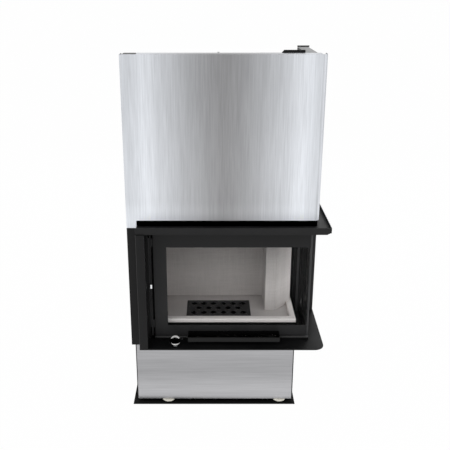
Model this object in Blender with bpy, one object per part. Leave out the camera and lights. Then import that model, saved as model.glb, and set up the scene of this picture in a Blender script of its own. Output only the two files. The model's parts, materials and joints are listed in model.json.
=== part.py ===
"""Corner fireplace insert with a lift-up corner-glass door, modelled piece by piece.

Run it with blender --background --python part.py, or from Blender's text editor. Lengths are metres
and +Z is up. The front faces -Y and the glazed side faces +X. The origin is on the floor, at the
middle of the insert's width and depth.
"""
import math

import bmesh
import bpy
from mathutils import Vector

# Clearances and overruns
GAP = 0.0003  # between pieces that touch
RUN = 0.0010  # running clearance of pieces that slide
OVERRUN = 0.004  # how far a cutter passes through what it cuts
LAP = 0.0005  # how deep joined shapes reach into each other

# Overall size
OVERALL_WIDTH = 0.682
OVERALL_DEPTH = 0.410

# Sheet, plate and brick thicknesses
CASING_SHEET = 0.0015
FRAME_SHEET = 0.002
RAIL_SHEET = 0.0025
BODY_PLATE = 0.003
BRICK_THICKNESS = 0.030
FOLD_RADIUS = 0.0015  # inside of a bend

# Base plate and feet
BASE_THICKNESS = 0.003
BASE_RIGHT_INSET = 0.088
BASE_SETBACK = 0.055
BASE_LIP_HEIGHT = 0.0045
FOOT_PAD_RADIUS = 0.0235
FOOT_PAD_HEIGHT = 0.0067
FOOT_PAD_CHAMFER = 0.002
FOOT_ROD_RADIUS = 0.004
FOOT_ROD_HEIGHT = 0.050
FOOT_NUT_ACROSS = 0.013
FOOT_NUT_HEIGHT = 0.0065
FOOT_FRONT_INSET = 0.0105  # foot centre behind the plinth's front face
FOOT_REAR_INSET = 0.026  # foot centre in front of the plinth's rear face
FOOT_LEFT_INSET = 0.1142
FOOT_RIGHT_INSET = 0.0478

# Plinth
PLINTH_LEFT_INSET = 0.014
PLINTH_RIGHT_INSET = 0.096
PLINTH_REAR_INSET = 0.040
PLINTH_HEIGHT = 0.2474
PLINTH_SETBACK = 0.075
PLINTH_FLOOR_THICKNESS = 0.002
PANEL_RETURN = 0.012
SPIGOT_RADIUS = 0.050
SPIGOT_WALL = 0.002
SPIGOT_FLANGE = 0.010
SPIGOT_HEIGHT = 0.120  # centre above the plinth's underside

# Portal frame
PORTAL_LEFT_INSET = 0.037
SHELF_THICKNESS = 0.004
SHELF_CORNER_RADIUS = 0.035
SHELF_FRONT_WIDTH = 0.096
SHELF_SIDE_WIDTH = 0.0875
SHELF_REAR_INSET = 0.050
COLUMN_WIDTH = 0.030
COLUMN_DEPTH = 0.0545
COLUMN_RIGHT_RETURN = 0.025
REAR_COLUMN_INSET = 0.108  # its face in front of the overall rear
REAR_COLUMN_WIDTH = 0.045
REAR_COLUMN_DEPTH = 0.053
PORTAL_OPENING_HEIGHT = 0.423
BEAM_OVERHANG = 0.054  # beam's right edge past the door's right face
BEAM_REAR_INSET = 0.055
BEAM_INNER_RISE = 0.029  # inner flange above the web
BEAM_INNER_GAP = 0.002  # between the inner flange and the casing's inner faces
BEAM_FACE_HEIGHT = 0.018
BEAM_LIP_HEIGHT = 0.007
BEAM_LIP_SETBACK = 0.004
BEAM_WEB_DROP = 0.012
BEAM_MITRE_WIDTH = 0.0135  # the lip's slanted end at the right corner
BEAM_MITRE_DEPTH = 0.030

# Door
GUIDE_SLOT = 0.020  # between the left column and the door
DOOR_SETBACK = 0.073
DOOR_RIGHT_INSET = 0.055
DOOR_REAR_INSET = 0.125
DOOR_HEIGHT = 0.3984
DOOR_THICKNESS = 0.016
DOOR_FACE = 0.003
DOOR_CLEARANCE = 0.0156  # door's lower edge above the shelf
DOOR_LEFT_BORDER = 0.046
DOOR_REAR_BORDER = 0.032
DOOR_TOP_BORDER = 0.0625
DOOR_BOTTOM_BORDER = 0.0394
GLASS_THICKNESS = 0.004
GLASS_OVERLAP = 0.012
HANDLE_LEFT_INSET = 0.118  # from the door's left edge
HANDLE_RIGHT_INSET = 0.100  # from the door's right face
HANDLE_RISE = 0.0184  # handle's top above the door's lower edge
HANDLE_REACH = 0.050
HANDLE_LIP = 0.0185
HANDLE_FLANGE = 0.014
LATCH_WIDTH = 0.006
LATCH_HEIGHT = 0.015
LATCH_THICKNESS = 0.004
LATCH_RISE = 0.192  # latch centre above the door's lower edge

# Sill and air control
SILL_HEIGHT = 0.0100
SILL_SETBACK = 0.006  # sill's face in front of the door's leg of the gap
SILL_DEPTH = 0.029
AIR_SLOT_LENGTH = 0.050
AIR_SLOT_WIDTH = 0.008
AIR_SLOT_LEFT_INSET = 0.035  # first slot's end from the lever's middle
AIR_SLOT_RIGHT_INSET = 0.141  # last slot's end from the door's right face
AIR_SLOT_COUNT = 3
AIR_TRAVEL_LEFT = 0.040
AIR_TRAVEL_RIGHT = 0.018
AIR_PLATE_WIDTH = 0.018
AIR_PLATE_THICKNESS = 0.0025
AIR_PLATE_MARGIN = 0.012
LEVER_WIDTH = 0.012
LEVER_THICKNESS = 0.003
LEVER_INSET = 0.074  # lever's middle from the door's left edge
KNOB_RADIUS = 0.0175
KNOB_RISE = 0.024  # knob centre above the shelf
KNOB_REACH = 0.054  # knob centre in front of the door
KNOB_STEM_RADIUS = 0.004

# Lining and grate
HEARTH_THICKNESS = 0.0537
FRONT_RIM_WIDTH = 0.025
RIGHT_RIM_WIDTH = 0.020
RIM_RISE = 0.013  # rim top above the hearth floor
RIM_CHAMFER = 0.003
RIM_SETBACK = 0.027  # front rim's face behind the door's face
SIDE_RIM_INSET = 0.0365  # right rim's face inside the door's right face
CHAMBER_LEFT_INSET = 0.106  # left brick's face from the overall left side
CHAMBER_REAR_INSET = 0.090  # back brick's face from the overall rear
BRICK_TOP = 0.385  # brick tops above the hearth floor
PILLAR_LEFT_INSET = 0.1055  # pillar's left face from the right rim's outer face
PILLAR_FRONT_WIDTH = 0.039
PILLAR_DEPTH = 0.127
PILLAR_SLANT = 0.054
BAFFLE_THICKNESS = 0.025
BAFFLE_FRONT_GAP = 0.060  # smoke's way up in front of the baffle
GRATE_WIDTH = 0.237
GRATE_REAR_INSET = 0.0413  # grate's rear edge from the back brick's face
GRATE_THICKNESS = 0.012
GRATE_LEFT_INSET = 0.089  # grate's left edge from the left brick's face
GRATE_FRONT_INSET = 0.026  # grate's front edge from the front rim's back face
GRATE_LEDGE = 0.006
GRATE_HOLE_PITCH = 0.0365
GRATE_ROW_PITCH = 0.036
GRATE_HOLE_SIZE = 0.025
GRATE_MARGIN = 0.0145
GRATE_HOLE_POWER = 1.5  # of the superellipse, whose sides bend in above 1

# Ash pan and well
PAN_SHEET = 0.0015
PAN_HEIGHT = 0.045
PAN_MARGIN = 0.003
WELL_DEPTH = 0.046
WELL_RIM = 0.010

# Body and hood
BODY_LEFT_INSET = 0.0725
BODY_HEIGHT = 0.846
HOOD_RISE = 0.359  # hood's lower edge above the body floor
HOOD_SETBACK = 0.108
HOOD_LIP = 0.012
FLUE_EDGE = 0.0461  # hood's top plate in front of the collar's wall and behind it
FLUE_WALL = 0.002
FLUE_HEIGHT = 0.088
FLUE_FLANGE = 0.015
JACKET_HEIGHT = 0.955
JACKET_RETURN = 0.070
LOUVRE_WIDTH = 0.054
LOUVRE_HEIGHT = 0.006
LOUVRE_PITCH = 0.070
LOUVRE_ROW_PITCH = 0.018
LOUVRE_ROWS = 3
LOUVRE_INSET = 0.060  # first row from the jacket's lower or upper edge
LOUVRE_SIDE_INSET = 0.040

# Casing
CASING_LEFT_INSET = 0.0035
CASING_RIGHT_INSET = 0.0345
CASING_SETBACK = 0.055
CASING_HEIGHT = 0.540
CASING_REAR_INSET = 0.075
CASING_RADIUS = 0.015
CASING_SLOT = 0.019  # open slot between the beam's web and the casing
CASING_LEG_WIDTH = 0.0335
CASING_LEG_DROP = 0.026
CASING_FLANGE = 0.050
CASING_FLANGE_NOTCH = 0.0505
CASING_SIDE_DROP = 0.028  # right wall's edge behind the flange, below the casing's top
COVER_FLANGE_WIDTH = 0.0332
COVER_FOOT = 0.0095  # cover's lower edge below the body floor
COVER_TOP_DROP = 0.001
COVER_REAR_DROP = 0.0365

# Guides and lifting gear
CABLE_RADIUS = 0.0015
PULLEY_LEFT_RADIUS = 0.035
PULLEY_RIGHT_RADIUS = 0.030
PULLEY_WIDTH = 0.012
PULLEY_RIM = 0.003
PULLEY_WEB = 0.004
PULLEY_DROP = 0.057  # pulley centre below the casing's top
PULLEY_SPOKES = 5
PULLEY_SPOKE_HOLE_SHARE = 0.42
AXLE_RADIUS = 0.004
AXLE_HEAD_RADIUS = 0.007
AXLE_HEAD_HEIGHT = 0.002
AXLE_CLEARANCE = 0.0004
LEFT_RAIL_WIDTH = 0.0615
LEFT_RAIL_DEPTH = 0.025
RAIL_SETBACK = 0.0755
RIGHT_RAIL_DEPTH = 0.040
RIGHT_RAIL_OFFSET = 0.008  # right rail's mouth behind the door's rear edge
RIGHT_CABLE_INSET = 0.024  # cable behind that mouth
SHOE_LEFT_DEPTH = 0.026
SHOE_RIGHT_DEPTH = 0.020
SHOE_END_INSET = 0.030
CARRIAGE_PLATE = 0.005
CARRIAGE_RISE = 0.024  # carriage top above the door's top
CARRIAGE_LEFT_DEPTH = 0.019
CARRIAGE_PROUD = 0.0015  # carriage strip in front of the door's face
CARRIAGE_STRIP_GAP = 0.0065  # between the strip and the door's left edge
CARRIAGE_LUG_HEIGHT = 0.030
CARRIAGE_HOOK = 0.005  # cable's hook, half its width
CARRIAGE_SCREW_RADIUS = 0.0022
CARRIAGE_SCREW_HEAD = 0.0015
CARRIAGE_SCREW_SPACING = 0.130
CARRIAGE_SCREW_RISE = 0.2034
TOP_RAIL_LEFT_WIDTH = 0.044
TOP_RAIL_LEFT_INSET = 0.0095
TOP_RAIL_LEFT_LENGTH = 0.118
TOP_RAIL_LEFT_DROP = 0.0145  # its part behind the casing's flange lies lower
TOP_RAIL_RIGHT_WIDTH = 0.041
TOP_RAIL_RIGHT_INSET = 0.058  # right edge from the overall right side
TOP_RAIL_LIP_INSET = 0.0862  # right rail's lip from the overall rear
TOP_RAIL_TAIL = 0.070
TOP_RAIL_TAIL_DROP = 0.017
TOP_RAIL_LIP = 0.005
TOP_RAIL_CHEEK = 0.099
CROSS_BAR_HEIGHT = 0.032
CROSS_BAR_TAB_WIDTH = 0.007
CROSS_BAR_TAB_HEIGHT = 0.003
CROSS_BAR_TAB_INSET = 0.306
BRACKET_WIDTH = 0.0735
BRACKET_RISE = 0.0085
BRACKET_HEIGHT = 0.040
BRACKET_CHAMFER = 0.007
WEIGHT_LEFT_WIDTH = 0.040
WEIGHT_LEFT_DEPTH = 0.060
WEIGHT_LEFT_HEIGHT = 0.235
WEIGHT_RIGHT_WIDTH = 0.037
WEIGHT_RIGHT_DEPTH = 0.044
WEIGHT_RIGHT_HEIGHT = 0.235
WEIGHT_CHAMFER = 0.003
WEIGHT_DROP = 0.070  # weight's top below the pulley's centre

# Segments and shading of round shapes
SMOOTH_DEGREES = 35
NUT_SIDES = 6
FOLD_STEPS = 3
COARSE = 12
MEDIUM = 24
FINE = 40

# Levels above the floor
Z_FOOT = BASE_THICKNESS + GAP
Z_PLINTH = Z_FOOT + FOOT_PAD_HEIGHT + GAP
Z_PLINTH_TOP = Z_PLINTH + PLINTH_HEIGHT
Z_SHELF = Z_PLINTH_TOP + GAP
Z_SHELF_TOP = Z_SHELF + SHELF_THICKNESS
Z_BODY = Z_SHELF + BODY_PLATE + GAP
Z_DOOR = Z_SHELF_TOP + DOOR_CLEARANCE
Z_DOOR_TOP = Z_DOOR + DOOR_HEIGHT
Z_WINDOW = Z_DOOR + DOOR_BOTTOM_BORDER
Z_WINDOW_TOP = Z_DOOR_TOP - DOOR_TOP_BORDER
Z_BEAM = Z_SHELF_TOP + PORTAL_OPENING_HEIGHT
Z_BEAM_FACE = Z_BEAM + BEAM_LIP_HEIGHT
Z_BEAM_TOP = Z_BEAM_FACE + BEAM_FACE_HEIGHT
Z_WEB_TOP = Z_BEAM_TOP - BEAM_WEB_DROP
Z_CASING = Z_WEB_TOP + CASING_SLOT
Z_CASING_TOP = Z_CASING + CASING_HEIGHT
Z_CASING_LEG = Z_CASING - CASING_LEG_DROP
Z_HEARTH = Z_BODY + HEARTH_THICKNESS
Z_RIM = Z_HEARTH + RIM_RISE
Z_BRICK = Z_HEARTH + GAP
Z_BRICK_TOP = Z_HEARTH + BRICK_TOP
Z_HOOD = Z_BODY + HOOD_RISE
Z_HOOD_TOP = Z_BODY + BODY_HEIGHT
Z_FLUE = Z_HOOD_TOP + BODY_PLATE + 2 * GAP
Z_CHEEK = Z_CASING_TOP - TOP_RAIL_CHEEK
Z_PULLEY = Z_CASING_TOP - PULLEY_DROP
Z_CARRIAGE_TOP = Z_DOOR_TOP + CARRIAGE_RISE
Z_WEIGHT_TOP = Z_PULLEY - WEIGHT_DROP
Z_GRATE = Z_HEARTH - GRATE_THICKNESS
Z_HANDLE = Z_DOOR + HANDLE_RISE
Z_LATCH = Z_DOOR + LATCH_RISE
Z_KNOB = Z_SHELF_TOP + KNOB_RISE

# Stations across the width, left to right
X_LEFT = -OVERALL_WIDTH / 2
X_RIGHT = OVERALL_WIDTH / 2
X_CASING = X_LEFT + CASING_LEFT_INSET
X_CASING_RIGHT = X_RIGHT - CASING_RIGHT_INSET
X_PLINTH = X_LEFT + PLINTH_LEFT_INSET
X_PLINTH_RIGHT = X_RIGHT - PLINTH_RIGHT_INSET
X_PORTAL = X_LEFT + PORTAL_LEFT_INSET
X_COLUMN_RIGHT = X_PORTAL + COLUMN_WIDTH
X_DOOR = X_COLUMN_RIGHT + GUIDE_SLOT
X_DOOR_RIGHT = X_RIGHT - DOOR_RIGHT_INSET
X_WINDOW = X_DOOR + DOOR_LEFT_BORDER
X_BEAM_RIGHT = X_DOOR_RIGHT + BEAM_OVERHANG
X_BODY = X_LEFT + BODY_LEFT_INSET
X_CHAMBER = X_LEFT + CHAMBER_LEFT_INSET
X_RIM_RIGHT = X_DOOR_RIGHT - SIDE_RIM_INSET
X_PILLAR = X_RIM_RIGHT - PILLAR_LEFT_INSET
X_SHELF_INNER = X_RIGHT - SHELF_SIDE_WIDTH
X_GRATE = X_CHAMBER + GRATE_LEFT_INSET
X_TOP_LEFT = X_LEFT + TOP_RAIL_LEFT_INSET
X_TOP_LEFT_RIGHT = X_TOP_LEFT + TOP_RAIL_LEFT_WIDTH
X_TOP_RIGHT_RIGHT = X_RIGHT - TOP_RAIL_RIGHT_INSET
X_TOP_RIGHT = X_TOP_RIGHT_RIGHT - TOP_RAIL_RIGHT_WIDTH
X_CABLE_LEFT = X_TOP_LEFT + TOP_RAIL_LEFT_WIDTH / 2
X_CABLE_RIGHT = X_TOP_RIGHT + TOP_RAIL_RIGHT_WIDTH / 2
X_HOOD_RIGHT = X_RIM_RIGHT + RUN + BODY_PLATE  # outer face of the body's right plates
X_RIGHT_RAIL = X_HOOD_RIGHT + GAP
X_STRIP_RIGHT = X_DOOR - CARRIAGE_STRIP_GAP
X_STRIP = X_STRIP_RIGHT - CARRIAGE_PLATE
X_LEVER = X_DOOR + LEVER_INSET
X_AIR_PLATE = X_LEVER - LEVER_WIDTH / 2 - AIR_PLATE_MARGIN
X_FIRST_SLOT = X_LEVER + AIR_SLOT_LEFT_INSET + AIR_SLOT_LENGTH / 2
X_LAST_SLOT = X_DOOR_RIGHT - AIR_SLOT_RIGHT_INSET - AIR_SLOT_LENGTH / 2
X_AIR_PLATE_END = X_LAST_SLOT + AIR_SLOT_LENGTH / 2 + AIR_TRAVEL_LEFT + AIR_PLATE_MARGIN

# Stations through the depth, front to rear
Y_FRONT = -OVERALL_DEPTH / 2
Y_REAR = OVERALL_DEPTH / 2
Y_BASE = Y_FRONT + BASE_SETBACK
Y_PLINTH = Y_FRONT + PLINTH_SETBACK
Y_PLINTH_REAR = Y_REAR - PLINTH_REAR_INSET
Y_CASING = Y_FRONT + CASING_SETBACK
Y_CASING_REAR = Y_REAR - CASING_REAR_INSET
Y_CASING_INNER = Y_CASING + CASING_SHEET + GAP
Y_DOOR = Y_FRONT + DOOR_SETBACK
Y_DOOR_REAR = Y_REAR - DOOR_REAR_INSET
Y_SHELF_INNER = Y_FRONT + SHELF_FRONT_WIDTH
Y_RIM = Y_DOOR + RIM_SETBACK
Y_RIM_BACK = Y_RIM + FRONT_RIM_WIDTH
Y_CHAMBER_BACK = Y_REAR - CHAMBER_REAR_INSET
Y_BODY_REAR = Y_CHAMBER_BACK + BRICK_THICKNESS + GAP  # inner face of the rear plate
Y_HOOD = Y_FRONT + HOOD_SETBACK
Y_GRATE = Y_RIM_BACK + GRATE_FRONT_INSET
Y_GRATE_REAR = Y_CHAMBER_BACK - GRATE_REAR_INSET
Y_RAIL = Y_FRONT + RAIL_SETBACK
Y_CABLE_LEFT = Y_RAIL + LEFT_RAIL_DEPTH / 2
Y_RIGHT_RAIL = Y_DOOR_REAR + RIGHT_RAIL_OFFSET
Y_CABLE_RIGHT = Y_RIGHT_RAIL + RIGHT_CABLE_INSET
Y_FLANGE_REAR = Y_CASING + CASING_FLANGE
Y_REAR_COLUMN = Y_REAR - REAR_COLUMN_INSET
FLUE_RADIUS = (Y_BODY_REAR - Y_HOOD) / 2 - FLUE_EDGE
Y_KNOB = Y_DOOR - KNOB_REACH
Y_AIR_PLATE = Y_DOOR - SILL_SETBACK + FRAME_SHEET + RUN


def clear_scene():
    """Removes whatever the open file holds."""
    for item in list(bpy.data.objects):
        bpy.data.objects.remove(item, do_unlink=True)


# Materials

def make_material(name, colour, roughness, metallic):
    """A Principled material, made once and then reused by name."""
    material = bpy.data.materials.get(name)
    if material is None:
        material = bpy.data.materials.new(name)
        material.use_nodes = True
        shader = material.node_tree.nodes["Principled BSDF"]
        shader.inputs["Base Color"].default_value = (*colour, 1.0)
        shader.inputs["Roughness"].default_value = roughness
        shader.inputs["Metallic"].default_value = metallic
        material.diffuse_color = (*colour, 1.0)
    return material


def stainless():
    return make_material("brushed_stainless", (0.62, 0.63, 0.65), 0.32, 1.0)


def black_steel():
    return make_material("black_paint", (0.022, 0.022, 0.024), 0.45, 0.0)


def grey_steel():
    return make_material("zinc_steel", (0.42, 0.42, 0.43), 0.45, 1.0)


def chrome():
    return make_material("chrome", (0.78, 0.79, 0.80), 0.08, 1.0)


def cast_iron():
    return make_material("cast_iron", (0.020, 0.020, 0.021), 0.6, 0.4)


def vermiculite():
    return make_material("vermiculite", (0.46, 0.44, 0.43), 0.9, 0.0)


def dark_polymer():
    return make_material("graphite_polymer", (0.03, 0.03, 0.03), 0.5, 0.0)


def ceramic_glass():
    material = make_material("ceramic_glass", (0.92, 0.93, 0.93), 0.03, 0.0)
    material.node_tree.nodes["Principled BSDF"].inputs["Transmission Weight"].default_value = 0.9
    return material


# Shape helpers

def place(flat, level, axis):
    """A 3-D point from a 2-D one and its level along the axis."""
    first, second = flat
    if axis == "x":
        return Vector((level, first, second))
    if axis == "y":
        return Vector((first, level, second))
    return Vector((first, second, level))


def add_prism(mesh, outline, axis, low, high):
    """Extrudes a closed outline from low to high along the axis."""
    rings = [[mesh.verts.new(place(flat, level, axis)) for flat in outline] for level in (low, high)]
    mesh.faces.new(rings[0])
    mesh.faces.new(rings[1])
    for k in range(len(outline)):
        after = (k + 1) % len(outline)
        mesh.faces.new((rings[0][k], rings[0][after], rings[1][after], rings[1][k]))


def add_box(mesh, x_span, y_span, z_span):
    """A rectangular block between the given spans."""
    (left, right), (front, rear) = x_span, y_span
    outline = [(left, front), (right, front), (right, rear), (left, rear)]
    add_prism(mesh, outline, "z", z_span[0], z_span[1])


def add_turned(mesh, profile, centre, axis, segments):
    """Turns a closed profile of (radius, height) points about the axis through centre."""
    columns = []
    for radius, height in profile:
        if radius == 0:
            columns.append([mesh.verts.new(Vector(centre) + place((0, 0), height, axis))])
            continue
        turns = [2 * math.pi * k / segments for k in range(segments)]
        ring = [place((radius * math.cos(a), radius * math.sin(a)), height, axis) for a in turns]
        columns.append([mesh.verts.new(Vector(centre) + point) for point in ring])
    for k, lower in enumerate(columns):
        upper = columns[(k + 1) % len(columns)]
        if len(lower) == 1 and len(upper) == 1:
            continue
        for s in range(segments):
            after = (s + 1) % segments
            corners = [lower[s % len(lower)], lower[after % len(lower)],
                       upper[after % len(upper)], upper[s % len(upper)]]
            mesh.faces.new(list(dict.fromkeys(corners)))


def rod_profile(radius, low, high):
    return [(0, low), (radius, low), (radius, high), (0, high)]


def arc_points(centre, radius, start, end, count):
    """Points on an arc, angles in degrees, both ends included."""
    angles = [math.radians(start + (end - start) * k / count) for k in range(count + 1)]
    return [(centre[0] + radius * math.cos(a), centre[1] + radius * math.sin(a)) for a in angles]


def offset_path(path, distance):
    """Shifts an open path to its left by the distance, with mitred corners."""
    shifted = []
    for k, point in enumerate(path):
        here = Vector(point)
        sides = []
        if k > 0:
            sides.append((here - Vector(path[k - 1])).normalized())
        if k < len(path) - 1:
            sides.append((Vector(path[k + 1]) - here).normalized())
        normals = [Vector((-side.y, side.x)) for side in sides]
        mitre = sum(normals, Vector((0, 0)))
        mitre = mitre / mitre.dot(normals[0])
        shifted.append(tuple(here + mitre * distance))
    return shifted


def rounded(path, thickness):
    """The open path with its corners on the arcs of a bent sheet, its thickness to the path's left."""
    points = [path[0]]
    for before, corner, after in zip(path, path[1:], path[2:]):
        here = Vector(corner)
        back, ahead = (Vector(before) - here).normalized(), (Vector(after) - here).normalized()
        outside = ahead.cross(back) * thickness > 0
        radius = FOLD_RADIUS + (abs(thickness) if outside else 0)
        half_angle = back.angle(ahead) / 2
        reach = radius / math.tan(half_angle)
        centre = here + (back + ahead).normalized() * (radius / math.sin(half_angle))
        start, end = here + back * reach - centre, here + ahead * reach - centre
        for k in range(FOLD_STEPS + 1):
            points.append(tuple(centre + start.slerp(end, k / FOLD_STEPS) * radius))
    points.append(path[-1])
    return points


def folded(path, thickness):
    """Closed outline of a sheet folded along the path, its thickness to the path's left."""
    path = rounded(path, thickness)
    return path + offset_path(path, thickness)[::-1]


def sweep(mesh, path, section):
    """Carries a closed section of (inset, z) points along an open plan path, insets to its left."""
    rows = [[mesh.verts.new((*flat, z)) for flat in offset_path(path, inset)] for inset, z in section]
    for k, row in enumerate(rows):
        after = rows[(k + 1) % len(rows)]
        for s in range(len(path) - 1):
            mesh.faces.new((row[s], row[s + 1], after[s + 1], after[s]))
    mesh.faces.new([row[0] for row in rows])
    mesh.faces.new([row[-1] for row in rows])


def finish(name, mesh, material, body=None, pivot=(0, 0, 0), smooth=False):
    """Makes a named object of the mesh, with its origin on the pivot and its body as parent."""
    bmesh.ops.recalc_face_normals(mesh, faces=mesh.faces)
    bmesh.ops.translate(mesh, verts=mesh.verts, vec=-Vector(pivot))
    data = bpy.data.meshes.new(name)
    mesh.to_mesh(data)
    mesh.free()
    if smooth:
        data.shade_smooth()
        data.set_sharp_from_angle(angle=math.radians(SMOOTH_DEGREES))
    piece = bpy.data.objects.new(name, data)
    bpy.context.collection.objects.link(piece)
    if material:
        data.materials.append(material)
    piece.location = pivot
    if body:
        piece.parent = body
        piece.location = Vector(pivot) - body.location
    return piece


def shape(piece, mesh, operation, label):
    """Cuts the mesh out of the piece, or joins it on, with an exact Boolean."""
    tool = finish(f"{piece.name}_{label}", mesh, None)
    tool.hide_render = True
    tool.display_type = "WIRE"
    boolean = piece.modifiers.new(label, "BOOLEAN")
    boolean.operation = operation
    boolean.solver = "EXACT"
    boolean.object = tool


def soften(piece, width, segments=1):
    """A small bevel along the piece's sharp edges."""
    bevel = piece.modifiers.new("edges", "BEVEL")
    bevel.width = width
    bevel.segments = segments
    bevel.limit_method = "ANGLE"


def make_body(name, pivot):
    """An empty on a moving body's axis, to which its pieces are parented."""
    body = bpy.data.objects.new(name, None)
    bpy.context.collection.objects.link(body)
    body.location = pivot
    return body


# Base, feet and plinth

def foot_places():
    """Name and place of each foot."""
    across = {"left": X_PLINTH + FOOT_LEFT_INSET, "right": X_PLINTH_RIGHT - FOOT_RIGHT_INSET}
    through = {"front": Y_PLINTH + FOOT_FRONT_INSET, "rear": Y_PLINTH_REAR - FOOT_REAR_INSET}
    return [(f"foot_{depth}_{side}", x, y) for side, x in across.items() for depth, y in through.items()]


def build_base():
    mesh = bmesh.new()
    rear, front = Y_REAR, Y_BASE
    profile = [(front, 0), (rear, 0), (rear, BASE_THICKNESS), (front + BASE_THICKNESS, BASE_THICKNESS),
               (front + BASE_THICKNESS, BASE_LIP_HEIGHT), (front, BASE_LIP_HEIGHT)]
    add_prism(mesh, profile, "x", X_LEFT, X_RIGHT - BASE_RIGHT_INSET)
    finish("base_plate", mesh, black_steel())


def build_feet():
    """Each foot is a pad on a threaded rod, with the locknut that holds it to the plinth floor."""
    pad = [(0, 0), (FOOT_PAD_RADIUS, 0), (FOOT_PAD_RADIUS, FOOT_PAD_HEIGHT - FOOT_PAD_CHAMFER),
           (FOOT_PAD_RADIUS - FOOT_PAD_CHAMFER, FOOT_PAD_HEIGHT), (FOOT_ROD_RADIUS, FOOT_PAD_HEIGHT),
           (FOOT_ROD_RADIUS, FOOT_ROD_HEIGHT), (0, FOOT_ROD_HEIGHT)]
    nut_low = Z_PLINTH + PLINTH_FLOOR_THICKNESS + GAP
    nut_profile = rod_profile(FOOT_NUT_ACROSS / math.sqrt(3), nut_low, nut_low + FOOT_NUT_HEIGHT)
    for name, x, y in foot_places():
        mesh = bmesh.new()
        add_turned(mesh, pad, (x, y, Z_FOOT), "z", MEDIUM)
        foot = finish(name, mesh, grey_steel(), smooth=True)
        nut = bmesh.new()
        add_turned(nut, nut_profile, (x, y, 0), "z", NUT_SIDES)
        shape(foot, nut, "UNION", "locknut")


def build_plinth():
    side_wall = CASING_SHEET + GAP
    inner_left, inner_right = X_PLINTH + side_wall, X_PLINTH_RIGHT - side_wall
    floor = bmesh.new()
    add_box(floor, (inner_left, inner_right), (Y_PLINTH + side_wall, Y_PLINTH_REAR - side_wall),
            (Z_PLINTH, Z_PLINTH + PLINTH_FLOOR_THICKNESS))
    floor_piece = finish("plinth_floor", floor, grey_steel())
    holes = bmesh.new()
    rod_hole = rod_profile(FOOT_ROD_RADIUS + GAP, Z_PLINTH - OVERRUN, Z_PLINTH + OVERRUN)
    for name, x, y in foot_places():
        add_turned(holes, rod_hole, (x, y, 0), "z", MEDIUM)
    shape(floor_piece, holes, "DIFFERENCE", "rod_holes")

    sides = {"plinth_left_panel": X_PLINTH, "plinth_right_panel": X_PLINTH_RIGHT - CASING_SHEET}
    for name, x in sides.items():
        side = bmesh.new()
        add_box(side, (x, x + CASING_SHEET), (Y_PLINTH, Y_PLINTH_REAR), (Z_PLINTH, Z_PLINTH_TOP))
        finish(name, side, black_steel())

    rear = bmesh.new()
    add_box(rear, (inner_left, inner_right), (Y_PLINTH_REAR - CASING_SHEET, Y_PLINTH_REAR),
            (Z_PLINTH, Z_PLINTH_TOP))
    rear_piece = finish("plinth_rear_panel", rear, black_steel())
    centre = (0, 0, Z_PLINTH + SPIGOT_HEIGHT)
    hole = bmesh.new()
    bore = SPIGOT_RADIUS - SPIGOT_WALL
    add_turned(hole, rod_profile(bore, Y_PLINTH_REAR - OVERRUN, Y_PLINTH_REAR + OVERRUN), centre, "y", FINE)
    shape(rear_piece, hole, "DIFFERENCE", "air_hole")

    spigot = bmesh.new()
    start = Y_PLINTH_REAR + GAP
    profile = [(bore, start), (SPIGOT_RADIUS + SPIGOT_FLANGE, start),
               (SPIGOT_RADIUS + SPIGOT_FLANGE, start + SPIGOT_WALL), (SPIGOT_RADIUS, start + SPIGOT_WALL),
               (SPIGOT_RADIUS, Y_REAR), (bore, Y_REAR)]
    add_turned(spigot, profile, centre, "y", FINE)
    finish("air_spigot", spigot, grey_steel(), smooth=True)

    front = bmesh.new()
    left, right, back = inner_left, inner_right, Y_PLINTH + PANEL_RETURN
    path = [(left, back), (left, Y_PLINTH), (right, Y_PLINTH), (right, back)]
    add_prism(front, folded(path, CASING_SHEET), "z", Z_PLINTH + PLINTH_FLOOR_THICKNESS + GAP,
              Z_PLINTH_TOP)
    panel = finish("plinth_front_panel", front, stainless())
    foot = bmesh.new()
    add_box(foot, (left + FOLD_RADIUS, right - FOLD_RADIUS), (Y_PLINTH, Y_PLINTH + CASING_SHEET),
            (Z_PLINTH, Z_PLINTH + PLINTH_FLOOR_THICKNESS + GAP + LAP))
    shape(panel, foot, "UNION", "lower_edge")


# Portal frame

def l_plate(left, right, front, rear, inner_right, inner_rear, corner):
    """Outline of an L-shaped plate: a strip along the front and one along the right side."""
    return [(left, front), *corner, (right, rear), (inner_right, rear), (inner_right, inner_rear),
            (left, inner_rear)]


def build_shelf():
    radius = SHELF_CORNER_RADIUS
    corner = arc_points((X_RIGHT - radius, Y_FRONT + radius), radius, -90, 0, COARSE)
    rear = Y_REAR - SHELF_REAR_INSET
    outline = l_plate(X_PORTAL, X_RIGHT, Y_FRONT, rear, X_SHELF_INNER, Y_SHELF_INNER, corner)
    mesh = bmesh.new()
    add_prism(mesh, outline, "z", Z_SHELF, Z_SHELF_TOP)
    shelf = finish("portal_shelf", mesh, black_steel())
    slots = bmesh.new()
    middle = Y_AIR_PLATE + AIR_PLATE_WIDTH / 2
    y_span = (middle - AIR_SLOT_WIDTH / 2, middle + AIR_SLOT_WIDTH / 2)
    for x in air_slot_places():
        add_box(slots, (x - AIR_SLOT_LENGTH / 2, x + AIR_SLOT_LENGTH / 2), y_span,
                (Z_SHELF - OVERRUN, Z_SHELF_TOP + OVERRUN))
    shape(shelf, slots, "DIFFERENCE", "air_slots")


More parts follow.
